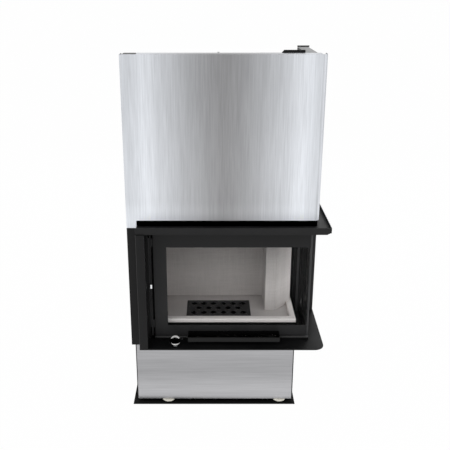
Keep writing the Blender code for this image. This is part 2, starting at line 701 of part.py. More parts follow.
def build_columns():
    left = bmesh.new()
    front, rear = Y_FRONT, Y_FRONT + COLUMN_DEPTH
    path = [(X_PORTAL, rear), (X_PORTAL, front), (X_COLUMN_RIGHT, front),
            (X_COLUMN_RIGHT, front + COLUMN_RIGHT_RETURN)]
    add_prism(left, folded(path, FRAME_SHEET), "z", Z_SHELF_TOP + GAP, Z_BEAM - GAP)
    finish("portal_left_column", left, black_steel())
    right = bmesh.new()
    path = [(X_BEAM_RIGHT - REAR_COLUMN_WIDTH, Y_REAR_COLUMN), (X_BEAM_RIGHT, Y_REAR_COLUMN),
            (X_BEAM_RIGHT, Y_REAR_COLUMN + REAR_COLUMN_DEPTH)]
    add_prism(right, folded(path, FRAME_SHEET), "z", Z_SHELF_TOP + GAP, Z_BEAM - GAP)
    finish("portal_rear_column", right, black_steel())


def beam_path(inset):
    """The beam's outer edge in plan: along the front and back along the right side."""
    path = [(X_PORTAL, Y_FRONT), (X_BEAM_RIGHT, Y_FRONT), (X_BEAM_RIGHT, Y_REAR - BEAM_REAR_INSET)]
    return offset_path(path, inset)


def build_beam():
    lip = BEAM_LIP_SETBACK
    web_low = Z_WEB_TOP - FRAME_SHEET
    section = [(0, Z_BEAM_FACE), (0, Z_BEAM_TOP), (FRAME_SHEET, Z_BEAM_TOP), (FRAME_SHEET, web_low),
               (lip + FRAME_SHEET, web_low), (lip + FRAME_SHEET, Z_BEAM), (lip, Z_BEAM), (lip, Z_BEAM_FACE)]
    mesh = bmesh.new()
    sweep(mesh, beam_path(0), section)
    beam = finish("portal_beam", mesh, black_steel())
    edge = beam_path(FRAME_SHEET / 2)
    outer_right, start = X_CASING_RIGHT + FRAME_SHEET, X_PORTAL + RUN
    inset = CASING_SHEET + BEAM_INNER_GAP
    radius = CASING_RADIUS - inset
    centre = (X_CASING_RIGHT - CASING_RADIUS, Y_CASING + CASING_RADIUS)
    path = [(start, Y_CASING + inset), *arc_points(centre, radius, -90, 0, COARSE // 2),
            (X_CASING_RIGHT - inset, Y_CASING_REAR)]
    inner = offset_path(path, FRAME_SHEET)[::-1]
    outline = [*edge, (outer_right, edge[-1][1]), (outer_right, Y_CASING_REAR), *inner,
               (start, Y_CASING - GAP), (edge[0][0], Y_CASING - GAP)]
    web = bmesh.new()
    add_prism(web, outline, "z", web_low - LAP, Z_WEB_TOP)
    shape(beam, web, "UNION", "web")
    flange = bmesh.new()
    add_prism(flange, path + inner, "z", web_low, Z_WEB_TOP + BEAM_INNER_RISE)
    shape(beam, flange, "UNION", "inner_flange")

    slope = (Z_BEAM_FACE - Z_BEAM) / BEAM_MITRE_WIDTH
    start, end = X_BEAM_RIGHT - BEAM_MITRE_WIDTH - OVERRUN, X_BEAM_RIGHT + OVERRUN
    mitre = bmesh.new()
    low = Z_BEAM - slope * OVERRUN
    add_prism(mitre, [(start, low), (end, low), (end, Z_BEAM_FACE + slope * OVERRUN)], "y",
              Y_FRONT - OVERRUN, Y_FRONT + BEAM_MITRE_DEPTH)
    shape(beam, mitre, "DIFFERENCE", "mitre")


def build_sill():
    face = Y_DOOR - SILL_SETBACK
    side = X_DOOR_RIGHT + SILL_SETBACK
    top = Z_SHELF_TOP + GAP + SILL_HEIGHT
    path = [(X_DOOR, face), (side, face), (side, Y_DOOR_REAR)]
    section = [(0, Z_SHELF_TOP + GAP), (0, top), (SILL_DEPTH, top), (SILL_DEPTH, top - FRAME_SHEET),
               (FRAME_SHEET, top - FRAME_SHEET), (FRAME_SHEET, Z_SHELF_TOP + GAP)]
    mesh = bmesh.new()
    sweep(mesh, path, section)
    sill = finish("door_sill", mesh, black_steel())
    slot = bmesh.new()
    reach = LEVER_WIDTH / 2 + RUN
    add_box(slot, (X_LEVER - reach - AIR_TRAVEL_LEFT, X_LEVER + reach + AIR_TRAVEL_RIGHT),
            (face - OVERRUN, face + FRAME_SHEET + RUN / 2),
            (Z_SHELF_TOP, Z_SHELF_TOP + GAP + LEVER_THICKNESS + RUN))
    shape(sill, slot, "DIFFERENCE", "lever_slot")


# Air control

def air_slot_places():
    pitch = (X_LAST_SLOT - X_FIRST_SLOT) / (AIR_SLOT_COUNT - 1)
    return [X_FIRST_SLOT + pitch * k for k in range(AIR_SLOT_COUNT)]


def build_air_control():
    low = Z_SHELF_TOP + GAP
    body = make_body("air_control_body", (X_LEVER, Y_KNOB, Z_KNOB))
    plate = bmesh.new()
    add_box(plate, (X_AIR_PLATE, X_AIR_PLATE_END), (Y_AIR_PLATE, Y_AIR_PLATE + AIR_PLATE_WIDTH),
            (low, low + AIR_PLATE_THICKNESS))
    slider = finish("air_slider", plate, grey_steel(), body, body.location)
    middle = Y_AIR_PLATE + AIR_PLATE_WIDTH / 2
    slots = bmesh.new()
    for x in air_slot_places():
        shifted = x - AIR_TRAVEL_RIGHT
        add_box(slots, (shifted - AIR_SLOT_LENGTH / 2, shifted + AIR_SLOT_LENGTH / 2),
                (middle - AIR_SLOT_WIDTH / 2, middle + AIR_SLOT_WIDTH / 2), (low - OVERRUN, low + OVERRUN))
    shape(slider, slots, "DIFFERENCE", "air_slots")

    base = Z_KNOB - KNOB_RADIUS - LEVER_THICKNESS
    back = Y_AIR_PLATE + LAP
    half = LEVER_WIDTH / 2
    lever = bmesh.new()
    path = [(back, low), (Y_KNOB + LEVER_WIDTH, low), (Y_KNOB + half, base), (Y_KNOB - half, base)]
    add_prism(lever, folded(path, -LEVER_THICKNESS), "x", X_LEVER - half, X_LEVER + half)
    shape(slider, lever, "UNION", "lever")

    knob = bmesh.new()
    bottom = -math.sqrt(KNOB_RADIUS ** 2 - KNOB_STEM_RADIUS ** 2)
    start = math.degrees(math.atan2(bottom, KNOB_STEM_RADIUS))
    ball = arc_points((0, 0), KNOB_RADIUS, start, 90, COARSE)[:-1]
    foot = -KNOB_RADIUS + GAP
    profile = [(0, foot), (KNOB_STEM_RADIUS, foot), *ball, (0, KNOB_RADIUS)]
    add_turned(knob, profile, body.location, "z", MEDIUM)
    finish("air_knob", knob, chrome(), body, body.location, smooth=True)


# Firebox body, hearth and lining

def build_body():
    floor = bmesh.new()
    cover_inner = X_CASING + FRAME_SHEET + GAP
    add_box(floor, (cover_inner, X_SHELF_INNER - GAP), (Y_SHELF_INNER + GAP, Y_REAR - CASING_SHEET - GAP),
            (Z_SHELF, Z_SHELF + BODY_PLATE))
    floor_piece = finish("body_floor", floor, black_steel())
    apron = bmesh.new()
    start = X_BODY + BODY_PLATE + GAP
    edge = [(start, Y_SHELF_INNER + GAP), (X_SHELF_INNER - GAP, Y_SHELF_INNER + GAP),
            (X_SHELF_INNER - GAP, Y_DOOR_REAR)]
    add_prism(apron, folded(edge, BODY_PLATE), "z", Z_SHELF, Z_HEARTH)
    shape(floor_piece, apron, "UNION", "apron")
    hole = bmesh.new()
    add_box(hole, *ash_hole(GRATE_LEDGE), (Z_SHELF - OVERRUN, Z_SHELF + BODY_PLATE + OVERRUN))
    shape(floor_piece, hole, "DIFFERENCE", "ash_hole")

    rear_outer = Y_BODY_REAR + BODY_PLATE
    plates = {
        "body_left_plate": ((X_BODY, X_BODY + BODY_PLATE), (Y_HOOD, rear_outer)),
        "body_rear_plate": ((X_BODY + BODY_PLATE + GAP, X_HOOD_RIGHT), (Y_BODY_REAR, rear_outer)),
    }
    for name, (x_span, y_span) in plates.items():
        mesh = bmesh.new()
        add_box(mesh, x_span, y_span, (Z_BODY, Z_HOOD_TOP))
        finish(name, mesh, black_steel())

    front = bmesh.new()
    back = Y_HOOD + BODY_PLATE
    path = [(Y_HOOD - HOOD_LIP, Z_HOOD), (back, Z_HOOD), (back, Z_HOOD_TOP)]
    add_prism(front, folded(path, BODY_PLATE), "x", X_BODY + BODY_PLATE + GAP, X_HOOD_RIGHT)
    finish("hood_front_plate", front, black_steel())
    side = bmesh.new()
    hood_front, rear = Y_HOOD + BODY_PLATE + GAP, Y_BODY_REAR - GAP
    outline = [(hood_front, Z_HOOD), (Y_DOOR_REAR + GAP, Z_HOOD), (Y_DOOR_REAR + GAP, Z_BODY), (rear, Z_BODY),
               (rear, Z_HOOD_TOP), (hood_front, Z_HOOD_TOP)]
    add_prism(side, outline, "x", X_HOOD_RIGHT - BODY_PLATE, X_HOOD_RIGHT)
    side_piece = finish("body_right_plate", side, black_steel())
    lip = bmesh.new()
    add_box(lip, (X_HOOD_RIGHT - LAP, X_HOOD_RIGHT + HOOD_LIP), (hood_front, Y_DOOR_REAR),
            (Z_HOOD, Z_HOOD + BODY_PLATE))
    shape(side_piece, lip, "UNION", "hood_lip")

    top = bmesh.new()
    add_box(top, (X_BODY, X_HOOD_RIGHT), (Y_HOOD, rear_outer),
            (Z_HOOD_TOP + GAP, Z_HOOD_TOP + GAP + BODY_PLATE))
    top_piece = finish("hood_top_plate", top, black_steel())
    centre = flue_centre()
    inner, flange = FLUE_RADIUS - FLUE_WALL, FLUE_RADIUS + FLUE_FLANGE
    hole = bmesh.new()
    add_turned(hole, rod_profile(inner, Z_HOOD_TOP - OVERRUN, Z_HOOD_TOP + 2 * OVERRUN), centre, "z", FINE)
    shape(top_piece, hole, "DIFFERENCE", "flue_hole")
    collar = bmesh.new()
    step, rim = Z_FLUE + BODY_PLATE, Z_FLUE + FLUE_HEIGHT
    profile = [(inner, Z_FLUE), (flange, Z_FLUE), (flange, step), (FLUE_RADIUS, step), (FLUE_RADIUS, rim),
               (inner, rim)]
    add_turned(collar, profile, centre, "z", FINE)
    finish("flue_collar", collar, black_steel(), smooth=True)


def flue_centre():
    return ((X_BODY + X_HOOD_RIGHT) / 2, (Y_HOOD + Y_BODY_REAR) / 2, 0)


def ash_hole(inset):
    """Spans across and through of the hole under the grate, the inset inside the grate's edge."""
    return (X_GRATE + inset, X_GRATE + GRATE_WIDTH - inset), (Y_GRATE + inset, Y_GRATE_REAR - inset)


def build_ash_parts():
    x_span, y_span = ash_hole(GRATE_LEDGE)
    sheet = PAN_SHEET
    well_top = Z_SHELF - GAP
    well = bmesh.new()
    outer = (x_span[0] - sheet, x_span[1] + sheet), (y_span[0] - sheet, y_span[1] + sheet)
    add_box(well, *outer, (well_top - WELL_DEPTH, well_top))
    well_piece = finish("ash_well", well, black_steel())
    rim = bmesh.new()
    wide = [(low - WELL_RIM, high + WELL_RIM) for low, high in outer]
    add_box(rim, *wide, (well_top - sheet, well_top))
    shape(well_piece, rim, "UNION", "rim")
    inside = bmesh.new()
    add_box(inside, x_span, y_span, (well_top - WELL_DEPTH + sheet, well_top + OVERRUN))
    shape(well_piece, inside, "DIFFERENCE", "inside")

    low = well_top - WELL_DEPTH + sheet + GAP
    pan_x, pan_y = ash_hole(GRATE_LEDGE + PAN_MARGIN)
    middle = (sum(pan_x) / 2, sum(pan_y) / 2, low)
    body = make_body("ash_pan_body", middle)
    pan = bmesh.new()
    add_box(pan, pan_x, pan_y, (low, low + PAN_HEIGHT))
    pan_piece = finish("ash_pan", pan, grey_steel(), body, middle)
    inside = bmesh.new()
    add_box(inside, (pan_x[0] + sheet, pan_x[1] - sheet), (pan_y[0] + sheet, pan_y[1] - sheet),
            (low + sheet, low + PAN_HEIGHT + OVERRUN))
    shape(pan_piece, inside, "DIFFERENCE", "inside")


def diamond(centre, size):
    """A rounded diamond, as a superellipse whose ends point along X and Y."""
    points = []
    for k in range(COARSE):
        turn = 2 * math.pi * k / COARSE
        cosine, sine = math.cos(turn), math.sin(turn)
        reach = size / 2
        x = math.copysign(abs(cosine) ** GRATE_HOLE_POWER, cosine) * reach
        y = math.copysign(abs(sine) ** GRATE_HOLE_POWER, sine) * reach
        points.append((centre[0] + x, centre[1] + y))
    return points


def build_grate():
    middle = (X_GRATE + GRATE_WIDTH / 2, (Y_GRATE + Y_GRATE_REAR) / 2, Z_GRATE)
    body = make_body("grate_body", middle)
    mesh = bmesh.new()
    add_box(mesh, *ash_hole(GAP), (Z_GRATE + GAP, Z_HEARTH))
    grate = finish("grate", mesh, cast_iron(), body, middle)
    holes = bmesh.new()
    taken = 2 * GRATE_MARGIN + GRATE_HOLE_SIZE
    columns = 1 + int((GRATE_WIDTH - taken) / GRATE_HOLE_PITCH)
    rows = 1 + int((Y_GRATE_REAR - Y_GRATE - taken) / GRATE_ROW_PITCH)
    for row in range(rows):
        count = columns - row % 2
        y = middle[1] + (row - (rows - 1) / 2) * GRATE_ROW_PITCH
        for k in range(count):
            x = middle[0] + (k - (count - 1) / 2) * GRATE_HOLE_PITCH
            add_prism(holes, diamond((x, y), GRATE_HOLE_SIZE), "z", Z_GRATE - OVERRUN, Z_HEARTH + OVERRUN)
    shape(grate, holes, "DIFFERENCE", "air_holes")


def build_lining():
    left, right = X_BODY + BODY_PLATE + GAP, X_RIM_RIGHT - RIGHT_RIM_WIDTH - GAP
    back = Y_BODY_REAR - GAP
    front = Y_RIM_BACK + GAP
    hearth = bmesh.new()
    add_box(hearth, (left, right), (front, back), (Z_BODY, Z_HEARTH))
    hearth_piece = finish("hearth_floor", hearth, vermiculite())
    seat = bmesh.new()
    add_box(seat, *ash_hole(0), (Z_GRATE, Z_HEARTH + OVERRUN))
    shape(hearth_piece, seat, "DIFFERENCE", "grate_seat")
    shaft = bmesh.new()
    add_box(shaft, *ash_hole(GRATE_LEDGE), (Z_BODY - OVERRUN, Z_HEARTH + OVERRUN))
    shape(hearth_piece, shaft, "DIFFERENCE", "ash_shaft")

    bricks = (
        ("left_brick", (left, X_CHAMBER), (front, Y_CHAMBER_BACK - GAP)),
        ("back_brick", (left, X_HOOD_RIGHT - BODY_PLATE - GAP), (Y_CHAMBER_BACK, back)),
    )
    for name, x_span, y_span in bricks:
        mesh = bmesh.new()
        add_box(mesh, x_span, y_span, (Z_BRICK, Z_BRICK_TOP))
        finish(name, mesh, vermiculite())

    pillar = bmesh.new()
    rear = Y_CHAMBER_BACK - GAP
    front_face = rear - PILLAR_DEPTH
    corner = X_PILLAR + PILLAR_FRONT_WIDTH
    outline = [(X_PILLAR, rear), (X_PILLAR, front_face), (corner, front_face), (corner + PILLAR_SLANT, rear)]
    add_prism(pillar, outline, "z", Z_BRICK, Z_BRICK_TOP)
    pillar_piece = finish("pillar_brick", pillar, vermiculite())
    notch = bmesh.new()
    add_box(notch, (right, X_RIM_RIGHT), (front_face, rear + OVERRUN), (Z_HEARTH, Z_RIM + GAP))
    shape(pillar_piece, notch, "DIFFERENCE", "rim_notch")

    rim_profile = [(Y_RIM, Z_BODY), (Y_RIM_BACK, Z_BODY), (Y_RIM_BACK, Z_RIM - RIM_CHAMFER),
                   (Y_RIM_BACK - RIM_CHAMFER, Z_RIM), (Y_RIM + RIM_CHAMFER, Z_RIM),
                   (Y_RIM, Z_RIM - RIM_CHAMFER)]
    rim = bmesh.new()
    add_prism(rim, rim_profile, "x", left, X_RIM_RIGHT)
    finish("front_rim", rim, vermiculite())
    inner = X_RIM_RIGHT - RIGHT_RIM_WIDTH
    rim_profile = [(X_RIM_RIGHT, Z_BODY), (inner, Z_BODY), (inner, Z_RIM - RIM_CHAMFER),
                   (inner + RIM_CHAMFER, Z_RIM), (X_RIM_RIGHT - RIM_CHAMFER, Z_RIM),
                   (X_RIM_RIGHT, Z_RIM - RIM_CHAMFER)]
    rim = bmesh.new()
    add_prism(rim, rim_profile, "y", front, rear)
    finish("right_rim", rim, vermiculite())

    baffle = bmesh.new()
    add_box(baffle, (left, X_HOOD_RIGHT - BODY_PLATE - GAP), (Y_RIM_BACK + BAFFLE_FRONT_GAP, back),
            (Z_BRICK_TOP + GAP, Z_BRICK_TOP + GAP + BAFFLE_THICKNESS))
    finish("baffle_plate", baffle, vermiculite())


# Casing, cover and jacket

def build_casing():
    radius = CASING_RADIUS
    rear = Y_CASING_REAR
    centre = (X_CASING_RIGHT - radius, Y_CASING + radius)
    corner = arc_points(centre, radius, -90, 0, COARSE // 2)
    inner = arc_points(centre, radius - CASING_SHEET, -90, 0, COARSE // 2)
    outline = [(X_CASING, Y_CASING), *corner, (X_CASING_RIGHT, rear), (X_CASING_RIGHT - CASING_SHEET, rear),
               *inner[::-1], (X_CASING, Y_CASING + CASING_SHEET)]
    mesh = bmesh.new()
    add_prism(mesh, outline, "z", Z_CASING, Z_CASING_TOP)
    casing = finish("casing", mesh, stainless(), smooth=True)
    leg = bmesh.new()
    add_box(leg, (X_CASING, X_CASING + CASING_LEG_WIDTH), (Y_CASING, Y_CASING + CASING_SHEET),
            (Z_CASING_LEG, Z_CASING + LAP))
    shape(casing, leg, "UNION", "leg")
    flange = bmesh.new()
    add_box(flange, (X_CASING + CASING_FLANGE_NOTCH, X_CASING_RIGHT - radius),
            (Y_CASING + LAP, Y_FLANGE_REAR), (Z_CASING_TOP - CASING_SHEET, Z_CASING_TOP))
    shape(casing, flange, "UNION", "flange")
    step = bmesh.new()
    add_box(step, (X_CASING_RIGHT - CASING_SHEET - OVERRUN, X_CASING_RIGHT + OVERRUN),
            (Y_FLANGE_REAR, rear + OVERRUN), (Z_CASING_TOP - CASING_SIDE_DROP, Z_CASING_TOP + OVERRUN))
    shape(casing, step, "DIFFERENCE", "side_step")


def build_cover():
    low = Z_BODY - COVER_FOOT - BODY_PLATE
    split = Z_CASING_LEG - GAP
    behind = Y_CASING_INNER
    web = bmesh.new()
    rear = Y_REAR - CASING_SHEET - GAP
    high, step = Z_CASING_TOP - COVER_TOP_DROP, Z_CASING_TOP - COVER_REAR_DROP
    outline = [(Y_CASING, low), (rear, low), (rear, step), (Y_FLANGE_REAR, step), (Y_FLANGE_REAR, high),
               (behind, high), (behind, split), (Y_CASING, split)]
    add_prism(web, outline, "x", X_CASING, X_CASING + FRAME_SHEET)
    cover = finish("left_cover", web, black_steel())
    flange = bmesh.new()
    add_box(flange, (X_CASING + LAP, X_CASING + COVER_FLANGE_WIDTH), (Y_CASING, Y_CASING + FRAME_SHEET),
            (low, split))
    shape(cover, flange, "UNION", "front_flange")


def build_jacket():
    path = [(X_CASING_RIGHT, Y_REAR - JACKET_RETURN), (X_CASING_RIGHT, Y_REAR), (X_CASING, Y_REAR)]
    mesh = bmesh.new()
    low, high = Z_SHELF_TOP + GAP, Z_SHELF_TOP + JACKET_HEIGHT
    add_prism(mesh, folded(path, CASING_SHEET), "z", low, high)
    jacket = finish("rear_jacket", mesh, grey_steel())

    louvres = bmesh.new()
    room = X_CASING_RIGHT - X_CASING - 2 * LOUVRE_SIDE_INSET - LOUVRE_WIDTH
    count = 1 + int(room / LOUVRE_PITCH)
    middle = (X_CASING + X_CASING_RIGHT) / 2
    levels = [low + LOUVRE_INSET + LOUVRE_ROW_PITCH * k for k in range(LOUVRE_ROWS)]
    levels += [high - LOUVRE_INSET - LOUVRE_ROW_PITCH * k for k in range(LOUVRE_ROWS)]
    for z in levels:
        for k in range(count):
            x = middle + (k - (count - 1) / 2) * LOUVRE_PITCH
            add_box(louvres, (x - LOUVRE_WIDTH / 2, x + LOUVRE_WIDTH / 2),
                    (Y_REAR - CASING_SHEET - OVERRUN, Y_REAR + OVERRUN),
                    (z - LOUVRE_HEIGHT / 2, z + LOUVRE_HEIGHT / 2))
    shape(jacket, louvres, "DIFFERENCE", "louvres")


# Guides and lifting gear

def build_guide_rails():
    left, right = X_TOP_LEFT, X_TOP_LEFT + LEFT_RAIL_WIDTH
    front, rear = Y_RAIL, Y_RAIL + LEFT_RAIL_DEPTH
    mesh = bmesh.new()
    path = [(right, rear), (left, rear), (left, front), (right, front)]
    add_prism(mesh, folded(path, RAIL_SHEET), "z", Z_SHELF_TOP + GAP, Z_CHEEK - GAP)
    finish("guide_rail_left", mesh, black_steel())
    left, right = X_RIGHT_RAIL, X_TOP_RIGHT_RIGHT
    front, rear = Y_RIGHT_RAIL, Y_RIGHT_RAIL + RIGHT_RAIL_DEPTH
    mesh = bmesh.new()
    path = [(right, front), (right, rear), (left, rear), (left, front)]
    add_prism(mesh, folded(path, RAIL_SHEET), "z", Z_SHELF_TOP + GAP, Z_CHEEK - GAP)
    finish("guide_rail_right", mesh, black_steel())


def channel(left, right, top, front, rear):
    """A sheet channel that is open downwards, from the cheeks' lower edge to its top."""
    path = [(left, Z_CHEEK), (left, top), (right, top), (right, Z_CHEEK)]
    mesh = bmesh.new()
    add_prism(mesh, folded(path, -RAIL_SHEET), "y", front, rear)
    return mesh


def build_top_rails():
    sheet = RAIL_SHEET
    span = X_TOP_LEFT, X_TOP_LEFT_RIGHT
    front = Y_CASING_INNER
    rail = finish("top_rail_left", channel(*span, Z_CASING_TOP, front, Y_FLANGE_REAR), black_steel())
    low_top = Z_CASING_TOP - TOP_RAIL_LEFT_DROP
    tail = channel(*span, low_top, Y_FLANGE_REAR - LAP, front + TOP_RAIL_LEFT_LENGTH)
    shape(rail, tail, "UNION", "tail")
    pulley_y = Y_CABLE_LEFT + PULLEY_LEFT_RADIUS
    shape(rail, axle_cutter(X_CABLE_LEFT, pulley_y, TOP_RAIL_LEFT_WIDTH), "DIFFERENCE", "axle_holes")

    left, right = X_TOP_RIGHT, X_TOP_RIGHT_RIGHT
    front = Y_FLANGE_REAR + GAP
    rear = Y_REAR - TOP_RAIL_LIP_INSET
    rail = finish("top_rail_right", channel(left, right, Z_CASING_TOP, front, rear), grey_steel())
    lip = bmesh.new()
    add_box(lip, (left, right), (rear - sheet, rear), (Z_CASING_TOP - LAP, Z_CASING_TOP + TOP_RAIL_LIP))
    shape(rail, lip, "UNION", "rear_lip")
    tail = channel(left, right, Z_CASING_TOP - TOP_RAIL_TAIL_DROP, rear - LAP, rear + TOP_RAIL_TAIL)
    shape(rail, tail, "UNION", "tail")
    pulley_y = Y_CABLE_RIGHT + PULLEY_RIGHT_RADIUS
    shape(rail, axle_cutter(X_CABLE_RIGHT, pulley_y, TOP_RAIL_RIGHT_WIDTH), "DIFFERENCE", "axle_holes")

    bar = bmesh.new()
    start = Y_FLANGE_REAR + GAP
    add_box(bar, (X_TOP_LEFT_RIGHT + GAP, X_TOP_RIGHT - GAP), (start, start + sheet),
            (Z_CASING_TOP - CROSS_BAR_HEIGHT, Z_CASING_TOP))
    bar_piece = finish("top_cross_bar", bar, black_steel())
    tab = bmesh.new()
    tab_x = X_LEFT + CROSS_BAR_TAB_INSET
    add_box(tab, (tab_x, tab_x + CROSS_BAR_TAB_WIDTH), (start, start + sheet),
            (Z_CASING_TOP - LAP, Z_CASING_TOP + CROSS_BAR_TAB_HEIGHT))
    shape(bar_piece, tab, "UNION", "tab")

    bracket = bmesh.new()
    top = Z_CASING_TOP + BRACKET_RISE
    right = X_TOP_RIGHT - GAP
    left = right - BRACKET_WIDTH
    low = top - BRACKET_HEIGHT
    outline = [(left, low), (right, low), (right, top), (left + BRACKET_CHAMFER, top),
               (left, top - BRACKET_CHAMFER)]
    add_prism(bracket, outline, "y", start + sheet - LAP, start + 2 * sheet)
    shape(bar_piece, bracket, "UNION", "bracket")


def axle_cutter(x, y, span):
    mesh = bmesh.new()
    half = span / 2 + OVERRUN
    add_turned(mesh, rod_profile(AXLE_RADIUS + GAP, x - half, x + half), (0, y, Z_PULLEY), "x", MEDIUM)
    return mesh


def pulley_places():
    """Name, cable plane, axle place, pitch radius and rail width of each pulley."""
    left, right = PULLEY_LEFT_RADIUS, PULLEY_RIGHT_RADIUS
    return (
        ("left", X_CABLE_LEFT, Y_CABLE_LEFT + left, left, TOP_RAIL_LEFT_WIDTH),
        ("right", X_CABLE_RIGHT, Y_CABLE_RIGHT + right, right, TOP_RAIL_RIGHT_WIDTH),
    )


def build_pulleys():
    for side, x, y, radius, width in pulley_places():
        groove = radius - CABLE_RADIUS - GAP
        outer = groove + 2 * CABLE_RADIUS + PULLEY_RIM
        bore = AXLE_RADIUS + AXLE_CLEARANCE
        half = PULLEY_WIDTH / 2
        hub = width / 2 - RAIL_SHEET - RUN
        web = PULLEY_WEB / 2
        boss, inner, lip = 2 * bore, groove - 2 * PULLEY_RIM, half - PULLEY_RIM / 2
        profile = [(bore, -hub), (boss, -hub), (boss, -web), (inner, -web), (inner, -half), (outer, -half),
                   (outer, -lip), (groove, -CABLE_RADIUS), (groove, CABLE_RADIUS), (outer, lip),
                   (outer, half), (inner, half), (inner, web), (boss, web), (boss, hub), (bore, hub)]
        centre = (x, y, Z_PULLEY)
        body = make_body(f"pulley_{side}_body", centre)
        mesh = bmesh.new()
        add_turned(mesh, profile, centre, "x", FINE)
        pulley = finish(f"pulley_{side}", mesh, grey_steel(), body, centre, smooth=True)
        holes = bmesh.new()
        middle = (boss + inner) / 2
        hole = PULLEY_SPOKE_HOLE_SHARE * (inner - boss)
        for k in range(PULLEY_SPOKES):
            turn = 2 * math.pi * k / PULLEY_SPOKES
            spot = (x, y + middle * math.cos(turn), Z_PULLEY + middle * math.sin(turn))
            add_turned(holes, rod_profile(hole, -half, half), spot, "x", COARSE)
        shape(pulley, holes, "DIFFERENCE", "spoke_holes")
        reach = width / 2 + GAP
        head = reach + AXLE_HEAD_HEIGHT
        axle = [(0, -head), (AXLE_HEAD_RADIUS, -head), (AXLE_HEAD_RADIUS, -reach), (AXLE_RADIUS, -reach),
                (AXLE_RADIUS, reach), (AXLE_HEAD_RADIUS, reach), (AXLE_HEAD_RADIUS, head), (0, head)]
        pin = bmesh.new()
        add_turned(pin, axle, centre, "x", MEDIUM)
        finish(f"axle_{side}", pin, grey_steel(), smooth=True)


def build_cables():
    """Each cable runs up from its carriage, over the pulley, and down to its counterweight."""
    for side, x, y, radius, width in pulley_places():
        over = arc_points((y, Z_PULLEY), radius, 180, 0, COARSE)
        route = [(y - radius, Z_CARRIAGE_TOP + GAP), *over, (y + radius, Z_WEIGHT_TOP + GAP)]
        curve = bpy.data.curves.new(f"cable_{side}", "CURVE")
        curve.dimensions = "3D"
        curve.bevel_depth = CABLE_RADIUS
        curve.bevel_resolution = 1
        curve.use_fill_caps = True
        spline = curve.splines.new("POLY")
        spline.points.add(len(route) - 1)
        for point, (depth, height) in zip(spline.points, route):
            point.co = (x, depth, height, 1)
        curve.materials.append(grey_steel())
        cable = bpy.data.objects.new(f"cable_{side}", curve)
        bpy.context.collection.objects.link(cable)


def build_weights():
    sizes = {"left": (WEIGHT_LEFT_WIDTH, WEIGHT_LEFT_DEPTH, WEIGHT_LEFT_HEIGHT),
             "right": (WEIGHT_RIGHT_WIDTH, WEIGHT_RIGHT_DEPTH, WEIGHT_RIGHT_HEIGHT)}
    for side, x, y, radius, rail_width in pulley_places():
        width, depth, height = sizes[side]
        place_y = y + radius
        body = make_body(f"counterweight_{side}_body", (x, place_y, Z_WEIGHT_TOP))
        mesh = bmesh.new()
        add_box(mesh, (x - width / 2, x + width / 2), (place_y - depth / 2, place_y + depth / 2),
                (Z_WEIGHT_TOP - height, Z_WEIGHT_TOP))
        piece = finish(f"counterweight_{side}", mesh, cast_iron(), body, body.location)
        soften(piece, WEIGHT_CHAMFER)


# Door

def door_shell(mesh, inset, depth_in, low, high, left, rear):
    """An L-shaped slab in plan, its outer faces the inset inside the door's, as deep as depth_in."""
    front, side = Y_DOOR + inset, X_DOOR_RIGHT - inset
    outline = l_plate(left, side, front, rear, side - depth_in, front + depth_in, [(side, front)])
    add_prism(mesh, outline, "z", low, high)


def build_door(body):
    pivot = body.location
    frame = bmesh.new()
    door_shell(frame, 0, DOOR_THICKNESS, Z_DOOR, Z_DOOR_TOP, X_DOOR, Y_DOOR_REAR)
    piece = finish("door_frame", frame, black_steel(), body, pivot)
    hollow = bmesh.new()
    door_shell(hollow, DOOR_FACE, DOOR_THICKNESS, Z_DOOR + DOOR_FACE, Z_DOOR_TOP - DOOR_FACE,
               X_DOOR + DOOR_FACE, Y_DOOR_REAR - DOOR_FACE)
    shape(piece, hollow, "DIFFERENCE", "hollow")
    window = bmesh.new()
    door_shell(window, -OVERRUN, 2 * OVERRUN + DOOR_FACE, Z_WINDOW, Z_WINDOW_TOP, X_WINDOW,
               Y_DOOR_REAR - DOOR_REAR_BORDER)
    shape(piece, window, "DIFFERENCE", "window")

    outer = DOOR_FACE + GAP
    low, high = Z_WINDOW - GLASS_OVERLAP, Z_WINDOW_TOP + GLASS_OVERLAP
    side_outer = X_DOOR_RIGHT - outer
    side_inner = side_outer - GLASS_THICKNESS
    front_outer = Y_DOOR + outer
    front = bmesh.new()
    add_box(front, (X_WINDOW - GLASS_OVERLAP, side_inner - GAP), (front_outer, front_outer + GLASS_THICKNESS),
            (low, high))
    finish("door_glass_front", front, ceramic_glass(), body, pivot)
    side = bmesh.new()
    add_box(side, (side_inner, side_outer), (front_outer, Y_DOOR_REAR - DOOR_REAR_BORDER + GLASS_OVERLAP),
            (low, high))
    finish("door_glass_side", side, ceramic_glass(), body, pivot)


def build_handle(body):
    left, right = X_DOOR + HANDLE_LEFT_INSET, X_DOOR_RIGHT - HANDLE_RIGHT_INSET
    back = Y_DOOR - GAP
    front = Y_DOOR - HANDLE_REACH
    path = [(back, Z_HANDLE - HANDLE_FLANGE), (back, Z_HANDLE), (front, Z_HANDLE),
            (front, Z_HANDLE - HANDLE_LIP)]
    mesh = bmesh.new()
    add_prism(mesh, folded(path, FRAME_SHEET), "x", left, right)
    finish("door_handle", mesh, black_steel(), body, body.location)


